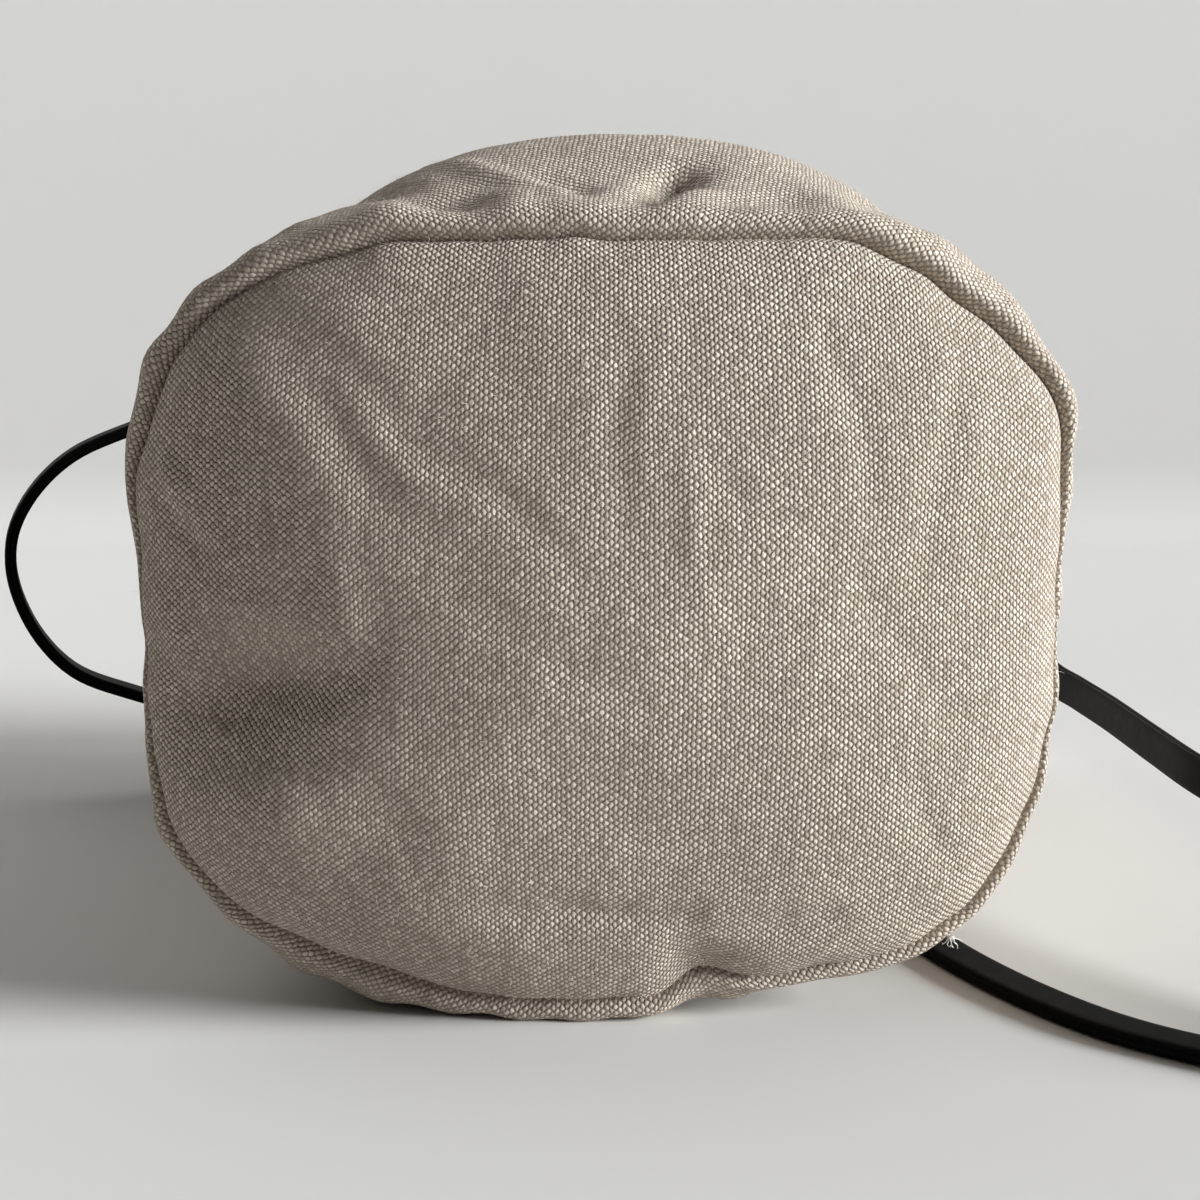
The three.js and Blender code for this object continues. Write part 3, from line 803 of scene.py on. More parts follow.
def leather_look(look, strap):
    """Black dyed leather with a fine grain and a soft shine."""
    settings = {"feature": "SMOOTH_F1"}
    inputs = {"Vector": look.place(), "Scale": 2400}
    cells = look.node("ShaderNodeTexVoronoi", settings, inputs, "Distance")
    pores = look.noise(look.place(), scale=3800)
    scuff = look.noise(look.place(), scale=260, detail=4, roughness=0.65)
    colour = look.shade(tuple(strap.leather_colour), lerp(*LEATHER_TONES, scuff))
    normal = look.bump(cells * CELL_HEIGHT + pores * PORE_HEIGHT, LEATHER_RELIEF, strength=0.8)
    look.finish({
        "Base Color": colour, "Roughness": lerp(*LEATHER_ROUGHNESS, scuff), "Normal": normal,
        "Specular IOR Level": 0.04})


def metal_look(look, strap):
    """Dark nickel plate with fine rubbed marks."""
    rubbed = look.noise(look.place(), scale=900, detail=4, roughness=0.7)
    colour = look.shade(tuple(strap.metal_colour), lerp(*METAL_TONES, rubbed))
    normal = look.bump(rubbed, METAL_RELIEF, strength=0.5)
    look.finish({
        "Base Color": colour, "Roughness": lerp(*METAL_ROUGHNESS, rubbed), "Metallic": 1.0,
        "Normal": normal})


def thread_look(look, cloth):
    """Spun sewing thread."""
    twist = look.noise(look.place(), scale=4200)
    colour = look.shade(tuple(cloth.thread_colour), lerp(*THREAD_TONES, twist))
    normal = look.bump(twist, THREAD_RELIEF)
    look.finish({"Base Color": colour, "Roughness": 0.8, "Normal": normal, "Sheen Weight": 0.1})


def stage_look(look, stage):
    """Pale board, paler up the backdrop. Its back is clear, so that it blocks no view from behind."""
    tone = look.noise(look.place(), scale=1.3)
    _, _, height = look.split(look.place())
    plain = look.mix(height / BACKDROP_BLEND, rgba(stage.floor_colour), rgba(stage.backdrop_colour))
    colour = look.shade(plain, lerp(*BOARD_TONES, tone))
    board = look.node("ShaderNodeBsdfDiffuse", {}, {"Color": colour})
    clear = look.node("ShaderNodeBsdfTransparent", {}, {})
    behind = look.node("ShaderNodeNewGeometry", {}, {}, "Backfacing")
    surface = look.node("ShaderNodeMixShader", {}, {0: behind, 1: board, 2: clear})
    look.node("ShaderNodeOutputMaterial", {}, {"Surface": surface})


def studio_look(look, stage):
    """Faint light from all round, which the eye, metal and shine see as a pale room."""
    rays = ("Is Camera Ray", "Is Glossy Ray", "Is Transmission Ray")
    camera, glossy, through = (look.node("ShaderNodeLightPath", {}, {}, ray) for ray in rays)
    seen = (camera + glossy + through).math("MINIMUM", 1)
    level = stage.room_level + seen * (stage.room_seen - stage.room_level)
    inputs = {"Color": rgba(stage.room_colour), "Strength": level}
    background = look.node("ShaderNodeBackground", {}, inputs)
    look.node("ShaderNodeOutputWorld", {}, {"Surface": background})


def material(name, make, settings):
    """A finish, made the first time that it is asked for."""
    made = bpy.data.materials.get(name)
    if not made:
        made = bpy.data.materials.new(name)
        make(Look(made), settings)
    return made


def new_object(name, bm, finish):
    """Turns a finished bmesh into an object at the origin, smooth shaded."""
    mesh = bpy.data.meshes.new(name)
    for face in bm.faces:
        face.smooth = True
    bm.to_mesh(mesh)
    bm.free()
    mesh.materials.append(finish)
    made = bpy.data.objects.new(name, mesh)
    bpy.context.scene.collection.objects.link(made)
    return made


def mount(made, body, slot, *nodes):
    """Sets a piece on its body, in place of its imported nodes."""
    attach(made, body)
    if nodes:
        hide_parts(*nodes)


def grid(columns, rows, point_at):
    """A grid of faces whose points and flat places come from their shares across and along."""
    bm = bmesh.new()
    flat = bm.loops.layers.uv.new(FLAT_MAP)
    bmesh.ops.create_grid(bm, x_segments=columns, y_segments=rows, size=1)
    flat_places = {}
    for vert in bm.verts:
        vert.co, flat_places[vert] = point_at((vert.co.x + 1) / 2, (vert.co.y + 1) / 2)
    for face in bm.faces:
        for loop in face.loops:
            loop[flat].uv = flat_places[loop.vert]
    return bm


def face_outwards(bm, centre):
    """Turns an open sheet so that its faces look away from a point inside the bag."""
    bm.normal_update()
    outwards = sum(face.normal.dot(face.calc_center_median() - centre) for face in bm.faces)
    if outwards < 0:
        bmesh.ops.reverse_faces(bm, faces=bm.faces)
    bm.normal_update()


def thicken(made, thickness):
    """Gives a cloth sheet its thickness, inwards."""
    cloth = made.modifiers.new("cloth", "SOLIDIFY")
    cloth.thickness = thickness
    cloth.offset = -1
    cloth.use_quality_normals = True


def lift_folds(bm, height_at):
    """Moves each point of a sheet along its normal by the height there."""
    moves = [vert.normal * height_at(vert.co) for vert in bm.verts]
    for vert, move in zip(bm.verts, moves):
        vert.co += move


# Cloth meshes: a point inside the bag, faces each way, and how far points crowd to the seams
BAG_MIDDLE = Vector((0, 0, 0.085))
BASE_CELLS = 190
BASE_LINING_CELLS = 80
WALL_COLUMNS = 200
WALL_ROWS = 120
WALL_CROWDING = 1.55
LINING_COLUMNS = 120
LINING_ROWS = 60
FACING_ROWS = 24
SIDE_CROWDING = 0.8
# Halves of the wall, and which is the upper as the bag lies
SIDES = (("front", True), ("back", False))


def build_base(name, shape, cells, widest, inset, finish_edge, finish):
    """The base panel or its lining: a crowned rounded square with folds, out to a share of its reach."""
    reaches = {}

    def point_at(across, along):
        aside, aloft = 2 * across - 1, 2 * along - 1
        share = max(abs(aside), abs(aloft))
        angle = math.atan2(aloft * shape.cloth.base_height, aside * shape.cloth.base_width)
        reach = widest * (1 - (1 - share) ** 2)
        point = shape.base_point(angle, reach)
        reaches[point.copy().freeze()] = reach
        return point, shape.base_flat(angle, reach)

    def height_at(point):
        return shape.base_fold(point, reaches[point.copy().freeze()]) - inset

    bm = grid(cells, cells, point_at)
    face_outwards(bm, BAG_MIDDLE)
    lift_folds(bm, height_at)
    finish_edge(bm, shape)
    bm.normal_update()
    return new_object(name, bm, finish)


# The seam edge's turn into the bag: each ring's step inwards and back
EDGE_TURN = ((0.0002, 0.0004), (0.0007, 0.0003), (0.0022, 0.0001))
# The base lining's edge: each ring's depth behind the seam and distance inside the wall
LINING_SKIRT = ((0.004, 0.010), (0.008, 0.0075), (0.012, 0.0045), (0.017, 0.0024))


def extruded_rim(bm):
    """Extrudes an open sheet's edge and returns the new points."""
    made = bmesh.ops.extrude_edge_only(bm, edges=[edge for edge in bm.edges if edge.is_boundary])
    return [item for item in made["geom"] if isinstance(item, bmesh.types.BMVert)]


def turn_in_edge(bm, shape):
    """Turns the base's rim into the seam, ring by ring."""
    for inwards, back in EDGE_TURN:
        for vert in extruded_rim(bm):
            aside = Vector((vert.co.x, 0, vert.co.z - shape.base.centre()))
            vert.co += Vector((0, back, 0)) - aside.normalized() * inwards


def meet_wall(bm, shape):
    """Leads the base lining's rim back to the wall lining, ring by ring."""
    for depth, inside in LINING_SKIRT:
        for vert in extruded_rim(bm):
            angle = math.atan2(vert.co.z - shape.base.centre(), vert.co.x)
            outwards = Vector((math.cos(angle), 0, math.sin(angle)))
            vert.co = shape.wall_point(angle, depth, math.inf) - outwards * inside


def build_wall(name, shape, upper, columns, rows, depths, inset, finish):
    """A wall panel, lining or facing over half the bag, between two depths behind the seam."""
    shallow, deep = depths
    lap = SIDE_LAP / shape.wall_scale
    side = 0 if upper else math.pi
    shares = [column / columns for column in range(columns + 1)]
    crowded = [share - SIDE_CROWDING * math.sin(2 * math.pi * share) / (2 * math.pi) for share in shares]
    angles = [side + lerp(-lap, math.pi + lap, share) for share in crowded]
    edges = [min(share, 1 - share) * math.pi * shape.wall_scale for share in crowded]
    asides = running_lengths([shape.wall_point(angle, ROLL_DEPTH, math.inf) for angle in angles])
    steps = [lerp(shallow, deep, (row / rows) ** WALL_CROWDING) for row in range(rows + 1)]
    table = []
    for angle, edge, aside in zip(angles, edges, asides):
        line = [shape.wall_point(angle, depth, edge) for depth in steps]
        flat = [Vector((aside, shallow + along)) for along in running_lengths(line)]
        table.append([(*row, angle) for row in zip(line, flat, steps)])

    places = {point.copy().freeze(): (angle, depth) for line in table for point, _, depth, angle in line}

    def point_at(across, along):
        return table[round(across * columns)][round(along * rows)][:2]

    def height_at(point):
        return shape.wall_fold(*places[point.copy().freeze()], point) - inset

    bm = grid(columns, rows, point_at)
    face_outwards(bm, BAG_MIDDLE)
    lift_folds(bm, height_at)
    for vert in bm.verts:
        vert.co.z = max(vert.co.z, inset)
    bm.normal_update()
    return new_object(name, bm, finish)


def smooth_route(points):
    """Points along a smooth curve through the given ones, with their share of the way to the next."""
    ends = [2 * points[0] - points[1], *points, 2 * points[-1] - points[-2]]
    route = []
    for index in range(len(points) - 1):
        before, here, there, after = ends[index:index + 4]
        steps = (here - before, there - here, after - there)
        first, span, last = (math.sqrt(step.length) for step in steps)
        leaving = (here - before) / first - (there - before) / (first + span) + (there - here) / span
        arriving = (there - here) / span - (after - here) / (span + last) + (after - there) / last
        handle = here + leaving * span / 3
        next_handle = there - arriving * span / 3
        curve = interpolate_bezier(here, handle, next_handle, there, SPAN_STEPS + 1)
        route += [(point, index, step / SPAN_STEPS) for step, point in enumerate(curve[:-1])]
    route.append((points[-1].copy(), len(points) - 2, 1))
    return route


def running_lengths(points):
    """How far along a line of points each of them lies."""
    lengths = [0]
    for here, there in zip(points, points[1:]):
        lengths.append(lengths[-1] + (there - here).length)
    return lengths


def even_stations(route, facings, half_width):
    """Points at even steps along a route with their outer face's direction, closer at the round ends."""
    lengths = running_lengths([point for point, _, _ in route])
    total = lengths[-1]
    turns = [math.pi / 2 * step / STRAP_END_STEPS for step in range(1, STRAP_END_STEPS + 1)]
    ends = [half_width * (1 - math.cos(turn)) for turn in turns]
    steps = round((total - 2 * half_width) / STRAP_STEP)
    middle = [lerp(half_width, total - half_width, step / steps) for step in range(1, steps)]
    distances = [*ends, *middle, *(total - distance for distance in reversed(ends))]
    stations = []
    index = 0
    for distance in distances:
        while lengths[index + 1] < distance and index < len(route) - 2:
            index += 1
        share = (distance - lengths[index]) / (lengths[index + 1] - lengths[index])
        point = route[index][0].lerp(route[index + 1][0], share)
        along = (route[index + 1][0] - route[index][0]).normalized()
        _, span, start = route[index]
        facing = facings[span].lerp(facings[span + 1], smoothstep(start + share / SPAN_STEPS, 0, 1))
        outwards = (facing - along * facing.dot(along)).normalized()
        to_end = min(distance, total - distance, half_width)
        half = math.sqrt(half_width ** 2 - (half_width - to_end) ** 2)
        stations.append((distance, point, along.cross(outwards), outwards, half))
    return stations, total


# A quarter of the strap's section: inset from its edge and height, as shares of half its thickness
STRAP_QUARTER = (
    (0.22, 0.0), (0.06, 0.14), (0.0, 0.36), (0.0, 0.66), (0.08, 0.86), (0.28, 1.0), (1.0, 1.03),
    (2.0, 1.04),
)


def build_strap(name, points, facings, strap, finish):
    """A leather strap of two bonded layers: a flat band with round edges and a groove along each edge."""
    half_thickness = strap.thickness / 2
    stations, length = even_stations(smooth_route(points), facings, strap.width / 2)
    quarter = [(inset * half_thickness, height * half_thickness) for inset, height in STRAP_QUARTER]
    ring = [(1, inset, height) for inset, height in quarter]
    ring += [(-1, inset, height) for inset, height in reversed(quarter)]
    ring += [(-1, inset, -height) for inset, height in quarter[1:]]
    ring += [(1, inset, -height) for inset, height in reversed(quarter)]
    around = len(ring) - 1
    last = len(stations) - 1

    def point_at(across, along):
        side, inset, height = ring[round(across * around)]
        distance, point, aside, outwards, half = stations[round(along * last)]
        sideways = side * max(half - inset, 0)
        place = point + aside * sideways + outwards * height
        return place, Vector((across * 2 * (strap.width + strap.thickness), distance))

    bm = grid(around, last, point_at)
    bmesh.ops.remove_doubles(bm, verts=bm.verts, dist=MERGE_DISTANCE)
    bmesh.ops.holes_fill(bm, edges=[edge for edge in bm.edges if edge.is_boundary])
    bmesh.ops.recalc_face_normals(bm, faces=bm.faces)
    made = new_object(name, bm, finish)
    path = [point for _, point, _, _, _ in stations]
    return made, path, length


def heading(degrees):
    """A level direction, in degrees from +X towards +Y."""
    return Vector((math.cos(math.radians(degrees)), math.sin(math.radians(degrees)), 0))


def strap_end(x, up, leaving, level):
    """A strap end on its rivet: the tail, the rivet and the level stretch as it leaves."""
    facing = Vector((0, 0, up))
    rivet = Vector((x, RIVET_Y, MOUTH_CENTRE + up * STRAP_RISE))
    return [(rivet + leaving * distance, facing) for distance in (-STRAP_TAIL, 0, level / 2, level)]


def short_route():
    """The short loop: out from its rivets in one upright plane and back."""
    leaving = heading(SHORT_HEADING)
    route = strap_end(-RIVET_X, 1, leaving, SHORT_LEVEL)
    for reach, height, lean in SHORT_LOOP:
        point = Vector((-RIVET_X, RIVET_Y, height)) + leaving * reach
        tilt = math.radians(lean)
        route.append((point, leaving * math.sin(tilt) + Vector((0, 0, math.cos(tilt)))))
    return route + strap_end(-RIVET_X, -1, leaving, SHORT_LEVEL)[::-1]


def long_route():
    """The long loop: down beside the bag, forward, round and back under the bag's edge."""
    route = strap_end(RIVET_X, 1, heading(LONG_UPPER_HEADING), LONG_UPPER_LEVEL)
    for x, depth, height, *facing in LONG_LOOP:
        route.append((Vector((x, SEAM_Y + depth, height)), Vector(facing)))
    return route + strap_end(RIVET_X, -1, heading(LONG_LOWER_HEADING), LONG_LOWER_LEVEL)[::-1]


class BAG_OT_stage(bpy.types.Operator):
    """Camera, floor, backdrop and soft lamps"""
    bl_idname = "knot_bag.stage"
    bl_label = "Stage"

    def execute(self, context):
        stage = context.scene.knot_bag_stage
        camera = bpy.data.objects.new("camera", bpy.data.cameras.new("camera"))
        camera.location = CAMERA_AT
        camera.rotation_euler = (math.radians(90 - CAMERA_PITCH), 0, 0)
        camera.data.lens = CAMERA_LENS
        camera.data.sensor_width = CAMERA_SENSOR
        camera.data.clip_start = CAMERA_CLIP
        context.scene.collection.objects.link(camera)
        context.scene.camera = camera
        self.board(stage)
        key = bpy.data.lights.new("key_lamp", "SUN")
        key.angle = math.radians(KEY_SPREAD)
        key.energy = stage.key_level
        key.color = stage.key_colour
        self.aim(context, key, KEY_AT, KEY_TARGET)
        fill = bpy.data.lights.new("fill_lamp", "AREA")
        fill.size = FILL_SIZE
        fill.energy = stage.fill_power
        self.aim(context, fill, FILL_AT, FILL_TARGET)
        context.scene.world = bpy.data.worlds.new("studio")
        studio_look(Look(context.scene.world), stage)
        context.scene.view_settings.view_transform = "Standard"
        return {"FINISHED"}

    def board(self, stage):
        """Floor and wall in one sheet with a small cove between them."""
        bm = bmesh.new()
        profile = [(STAGE_FRONT, 0)]
        for step in range(COVE_STEPS + 1):
            turn = math.pi / 2 * step / COVE_STEPS
            y = WALL_Y - COVE_RADIUS + COVE_RADIUS * math.sin(turn)
            profile.append((y, COVE_RADIUS - COVE_RADIUS * math.cos(turn)))
        profile.append((WALL_Y, STAGE_HEIGHT))
        line = [bm.verts.new((-STAGE_HALF_WIDTH, y, z)) for y, z in profile]
        edges = [bm.edges.new(pair) for pair in zip(line, line[1:])]
        made = bmesh.ops.extrude_edge_only(bm, edges=edges)
        moved = [item for item in made["geom"] if isinstance(item, bmesh.types.BMVert)]
        bmesh.ops.translate(bm, verts=moved, vec=(2 * STAGE_HALF_WIDTH, 0, 0))
        bm.normal_update()
        if sum(face.normal.z for face in bm.faces) < 0:
            bmesh.ops.reverse_faces(bm, faces=bm.faces)
        board = new_object("board", bm, material("pale_board", stage_look, stage))

    def aim(self, context, lamp, place, target):
        """Puts a lamp at a place, looking at a point."""
        holder = bpy.data.objects.new(lamp.name, lamp)
        holder.location = place
        holder.rotation_euler = (Vector(target) - Vector(place)).to_track_quat("-Z", "Y").to_euler()
        context.scene.collection.objects.link(holder)


class BAG_OT_handles(bpy.types.Operator):
    """Short and long leather loops"""
    bl_idname = "knot_bag.handles"
    bl_label = "Handles"

    def execute(self, context):
        strap = context.scene.knot_bag_strap
        finish = material("black_leather", leather_look, strap)
        for handle, route in (("short", short_route()), ("long", long_route())):
            points = [point for point, _ in route]
            facings = [facing for _, facing in route]
            name = f"{handle}_strap"
            made, path, length = build_strap(name, points, facings, strap, finish)
            mount(made, f"{handle}_handle", "strap_leather", f"{name}_face", f"{name}_backing")
        return {"FINISHED"}


class BAG_OT_base(bpy.types.Operator):
    """Crowned base panel"""
    bl_idname = "knot_bag.base"
    bl_label = "Base panel"

    def execute(self, context):
        cloth = context.scene.knot_bag_cloth
        shape = BagShape(cloth)
        finish = material("natural_linen", linen_look, cloth)
        made = build_base(
            "base_cloth", shape, BASE_CELLS, widest=1, inset=0, finish_edge=turn_in_edge, finish=finish)
        thicken(made, OUTER_CLOTH)
        mount(made, "bag", "outer_linen", "base_panel")
        return {"FINISHED"}


class BAG_OT_walls(bpy.types.Operator):
    """Front and back wall panels"""
    bl_idname = "knot_bag.walls"
    bl_label = "Wall panels"

    def execute(self, context):
        cloth = context.scene.knot_bag_cloth
        shape = BagShape(cloth)
        finish = material("natural_linen", linen_look, cloth)
        for side, upper in SIDES:
            depths = (0, cloth.depth)
            made = build_wall(
                f"{side}_cloth", shape, upper, WALL_COLUMNS, WALL_ROWS, depths, inset=0, finish=finish)
            thicken(made, OUTER_CLOTH)
            mount(made, "bag", "outer_linen", f"{side}_panel")
        return {"FINISHED"}


class BAG_OT_facings(bpy.types.Operator):
    """Linen facings inside the mouth"""
    bl_idname = "knot_bag.facings"
    bl_label = "Facings"

    def execute(self, context):
        cloth = context.scene.knot_bag_cloth
        shape = BagShape(cloth)
        finish = material("natural_linen", linen_look, cloth)
        for side, upper in SIDES:
            depths = (cloth.depth - FACING_DEPTH, cloth.depth)
            made = build_wall(
                f"{side}_facing_cloth", shape, upper, LINING_COLUMNS, FACING_ROWS, depths, LINING_INSET,
                finish)
            thicken(made, OUTER_CLOTH)
            mount(made, "bag", "outer_linen", f"{side}_facing")
        return {"FINISHED"}


class BAG_OT_linings(bpy.types.Operator):
    """Cotton linings of the base and walls"""
    bl_idname = "knot_bag.linings"
    bl_label = "Linings"

    def execute(self, context):
        cloth = context.scene.knot_bag_cloth
        shape = BagShape(cloth)
        finish = material("fine_cotton", lining_look, cloth)
        base = build_base(
            "base_lining_cloth", shape, BASE_LINING_CELLS, LINING_REACH, LINING_INSET, meet_wall, finish)
        thicken(base, LINING_CLOTH)
        mount(base, "bag", "lining_cotton", "base_lining")
        for side, upper in SIDES:
            depths = (LINING_INSET, cloth.depth - FACING_DEPTH - LAYER_GAP)
            made = build_wall(
                f"{side}_lining_cloth", shape, upper, LINING_COLUMNS, LINING_ROWS, depths, LINING_INSET,
                finish)
            thicken(made, LINING_CLOTH)
            mount(made, "bag", "lining_cotton", f"{side}_lining")
        return {"FINISHED"}


# Rivet profiles: distance from the axis as a share of the radius, and height from foot to top
CAP_PROFILE = (
    (0.0, 0.55), (0.44, 0.55), (0.44, 0.0), (0.96, 0.0), (1.0, 0.08), (1.0, 0.42), (0.97, 0.56),
    (0.88, 0.72), (0.72, 0.86), (0.5, 0.95), (0.25, 0.99), (0.0, 1.0),
)
POST_HEAD = 0.11
POST_ROUND = 0.03


class BAG_OT_rivets(bpy.types.Operator):
    """Rivet posts and caps"""
    bl_idname = "knot_bag.rivets"
    bl_label = "Rivets"

    def execute(self, context):
        strap = context.scene.knot_bag_strap
        finish = material("dark_nickel", metal_look, strap)
        for handle in ("short", "long"):
            for level in ("upper", "lower"):
                name = f"{handle}_{level}_rivet"
                self.turned(f"{name}_cap", CAP_PROFILE, strap.cap_diameter / 2, level == "upper", finish)
                self.turned(f"{name}_post", self.post_profile(strap), None, level == "upper", finish)
        return {"FINISHED"}

    def post_profile(self, strap):
        """A post with a flat round head at its foot."""
        head = (POST_HIGH.x - POST_LOW.x) / 2
        post = strap.post_diameter / 2 / head
        return (
            (0.0, 0.0), (1 - POST_ROUND * 2, 0.0), (1.0, POST_ROUND), (1.0, POST_HEAD - POST_ROUND),
            (1 - POST_ROUND * 2, POST_HEAD), (post, POST_HEAD), (post, 1 - POST_ROUND),
            (post - POST_ROUND * 2, 1.0), (0.0, 1.0))

    def turned(self, node, profile, radius, upper, finish):
        """A round metal piece that fills its node's box."""
        low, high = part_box(node)
        radius = radius or (high.x - low.x) / 2
        foot, top = (low.z, high.z) if upper else (high.z, low.z)
        centre = Vector(((low.x + high.x) / 2, (low.y + high.y) / 2, 0))
        bm = bmesh.new()
        line = [bm.verts.new(centre + Vector((share * radius, 0, lerp(foot, top, height))))
                for share, height in profile]
        edges = [bm.edges.new(pair) for pair in zip(line, line[1:])]
        bmesh.ops.spin(
            bm, geom=line + edges, cent=centre, axis=(0, 0, 1), angle=2 * math.pi, steps=RIVET_STEPS,
            use_merge=True, use_normal_flip=False, use_duplicate=False)
        bmesh.ops.remove_doubles(bm, verts=bm.verts, dist=MERGE_DISTANCE)
        bmesh.ops.recalc_face_normals(bm, faces=bm.faces)
        made = new_object(f"{node}_metal", bm, finish)
        mount(made, "bag", "rivet_metal", node)


# Sewing thread: the row round the rim, and a frayed end at the base seam
STITCH_LENGTH = 0.0030
STITCH_PITCH = 0.0036
STITCH_THICKNESS = 0.0005
STITCH_INSET = 0.0045
STITCH_SEGMENTS = (6, 5)
RIM_STEPS = 720
FRAY_DIRECTION = 317.5
FRAY_DEPTH = 0.003
FRAY_LENGTH = (0.002, 0.0045)
FRAY_LEAN = 0.6
FRAY_CURL = 0.5
FRAY_STEPS = 5
FRAY_THICKNESS = 0.00034
FRAY_COUNT = 12
FRAY_SEED = 11
THREAD_TIP = 0.35


def thread_piece(name, paths, thickness, finish):
    """Fine round threads along paths, each drawn out to a thin tip, as one piece."""
    curve = bpy.data.curves.new(name, "CURVE")
    curve.dimensions = "3D"
    curve.bevel_depth = thickness / 2
    curve.bevel_resolution = 0
    curve.use_fill_caps = True
    for path in paths:
        line = curve.splines.new("POLY")
        line.points.add(len(path) - 1)
        for step, (point, place) in enumerate(zip(line.points, path)):
            point.co = (*place, 1)
            point.radius = lerp(1, THREAD_TIP, step / (len(path) - 1))
    curve.materials.append(finish)
    made = bpy.data.objects.new(name, curve)
    bpy.context.scene.collection.objects.link(made)
    return made


def curling_path(draw, root, outwards, lengths, lean, curl, steps):
    """A fibre that leaves the cloth at a slant and curls at random."""
    def aside(amount):
        return Vector((draw.gauss(0, amount), draw.gauss(0, amount), draw.gauss(0, amount)))

    step = draw.uniform(*lengths) / steps
    bearing = (outwards + aside(lean)).normalized()
    path = [root]
    for _ in range(steps):
        path.append(path[-1] + bearing * step)
        bearing = (bearing + aside(curl)).normalized()
    return path


class BAG_OT_stitches(bpy.types.Operator):
    """Sewing thread round the rim and the frayed end at the base seam"""
    bl_idname = "knot_bag.stitches"
    bl_label = "Sewing thread"

    def execute(self, context):
        cloth = context.scene.knot_bag_cloth
        shape = BagShape(cloth)
        finish = material("sewing_thread", thread_look, cloth)
        rim = new_object("rim_stitches", self.rim_stitches(shape), finish)
        mount(rim, "bag", "outer_linen")
        draw = random.Random(FRAY_SEED)
        root, outwards = shape.wall_surface(math.radians(FRAY_DIRECTION), FRAY_DEPTH)
        paths = [
            curling_path(draw, root, outwards, FRAY_LENGTH, FRAY_LEAN, FRAY_CURL, FRAY_STEPS)
            for _ in range(FRAY_COUNT)]
        frayed = thread_piece("frayed_thread", paths, FRAY_THICKNESS, finish)
        mount(frayed, "bag", "outer_linen")
        return {"FINISHED"}

    def rim_stitches(self, shape):
        """A row of stitches just below the rim, each a plump little loaf along the cloth."""
        depth = shape.cloth.depth - STITCH_INSET
        turns = [2 * math.pi * step / RIM_STEPS for step in range(RIM_STEPS + 1)]
        lengths = running_lengths([shape.wall_surface(turn, depth)[0] for turn in turns])
        bm = bmesh.new()
        count = round(lengths[-1] / STITCH_PITCH)
        index = 0
        for stitch in range(count):
            distance = lengths[-1] * (stitch + 0.5) / count
            while lengths[index + 1] < distance:
                index += 1
            share = (distance - lengths[index]) / (lengths[index + 1] - lengths[index])
            angle = lerp(turns[index], turns[index + 1], share)
            point, outwards = shape.wall_surface(angle, depth)
            around = (shape.wall_surface(angle + PROBE_TURN, depth)[0] - point).normalized()
            size = Matrix.Diagonal((STITCH_LENGTH / 2, STITCH_THICKNESS / 2, STITCH_THICKNESS / 2, 1))
            turn = Matrix((around, outwards.cross(around), outwards)).transposed().to_4x4()
            place = Matrix.Translation(point) @ turn @ size
            across, up = STITCH_SEGMENTS
            bmesh.ops.create_uvsphere(bm, u_segments=across, v_segments=up, radius=1, matrix=place)
        return bm


# Lint: short fibres that stand off the linen
LINT_SEED = 5
LINT_ON_BASE = 1500
LINT_ON_WALLS = 5500
LINT_LENGTH = (0.0007, 0.0022)
LINT_LEAN = 0.7
LINT_CURL = 0.5
LINT_STEPS = 3
LINT_THICKNESS = 0.00008
LINT_FROM_SEAM = 0.003
LINT_CLEARANCE = 0.003


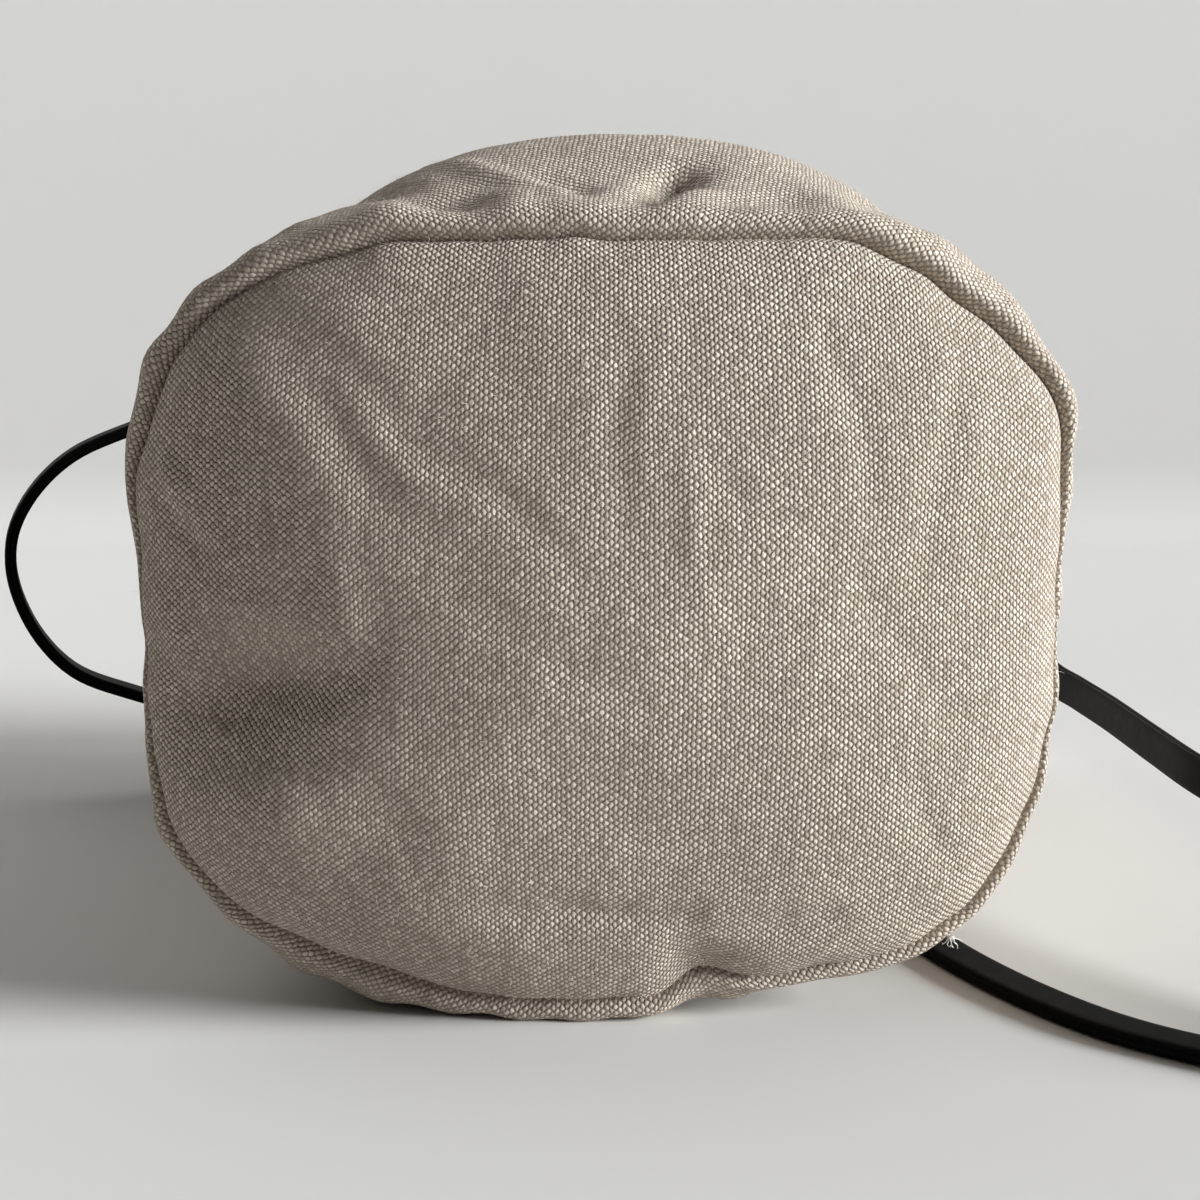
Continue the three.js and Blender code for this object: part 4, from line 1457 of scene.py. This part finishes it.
class BAG_OT_lint(bpy.types.Operator):
    """Fine fibres that stand off the linen"""
    bl_idname = "knot_bag.lint"
    bl_label = "Lint"

    def execute(self, context):
        cloth = context.scene.knot_bag_cloth
        shape = BagShape(cloth)
        draw = random.Random(LINT_SEED)
        roots = []
        for _ in range(LINT_ON_BASE):
            roots.append(shape.base_surface(draw.uniform(0, 2 * math.pi), math.sqrt(draw.random())))
        for _ in range(LINT_ON_WALLS):
            depth = draw.uniform(LINT_FROM_SEAM, cloth.depth)
            roots.append(shape.wall_surface(draw.uniform(0, 2 * math.pi), depth))
        roots = [(root, outwards) for root, outwards in roots if root.z > LINT_CLEARANCE]
        paths = [
            curling_path(draw, root, outwards, LINT_LENGTH, LINT_LEAN, LINT_CURL, LINT_STEPS)
            for root, outwards in roots]
        finish = material("sewing_thread", thread_look, cloth)
        made = thread_piece("lint", paths, LINT_THICKNESS, finish)
        mount(made, "bag", "outer_linen")
        return {"FINISHED"}


CLASSES = (
    ClothSettings, StrapSettings, StageSettings, BAG_OT_stage, BAG_OT_handles, BAG_OT_base, BAG_OT_walls,
    BAG_OT_facings, BAG_OT_linings, BAG_OT_rivets, BAG_OT_stitches, BAG_OT_lint,
)


class BAG_PT_sidebar(bpy.types.Panel):
    """Lists the bag's sizes, colours and pieces"""
    bl_idname = "BAG_PT_sidebar"
    bl_label = "Knot Bag"
    bl_space_type = "VIEW_3D"
    bl_region_type = "UI"
    bl_category = "Knot Bag"

    def draw(self, context):
        scene = context.scene
        for group in (scene.knot_bag_cloth, scene.knot_bag_strap, scene.knot_bag_stage):
            box = self.layout.box()
            for name in group.__annotations__:
                box.prop(group, name)
        for made in CLASSES:
            if issubclass(made, bpy.types.Operator):
                self.layout.operator(made.bl_idname)


def register():
    for made in (*CLASSES, BAG_PT_sidebar):
        bpy.utils.register_class(made)
    bpy.types.Scene.knot_bag_cloth = PointerProperty(type=ClothSettings)
    bpy.types.Scene.knot_bag_strap = PointerProperty(type=StrapSettings)
    bpy.types.Scene.knot_bag_stage = PointerProperty(type=StageSettings)


def unregister():
    del bpy.types.Scene.knot_bag_stage
    del bpy.types.Scene.knot_bag_strap
    del bpy.types.Scene.knot_bag_cloth
    for made in reversed((*CLASSES, BAG_PT_sidebar)):
        bpy.utils.unregister_class(made)


def main():
    register()
    bpy.ops.knot_bag.stage()
    bpy.ops.knot_bag.handles()
    bpy.ops.knot_bag.base()
    bpy.ops.knot_bag.walls()
    bpy.ops.knot_bag.facings()
    bpy.ops.knot_bag.linings()
    bpy.ops.knot_bag.rivets()
    bpy.ops.knot_bag.stitches()
    bpy.ops.knot_bag.lint()


if __name__ == "__main__":
    main()
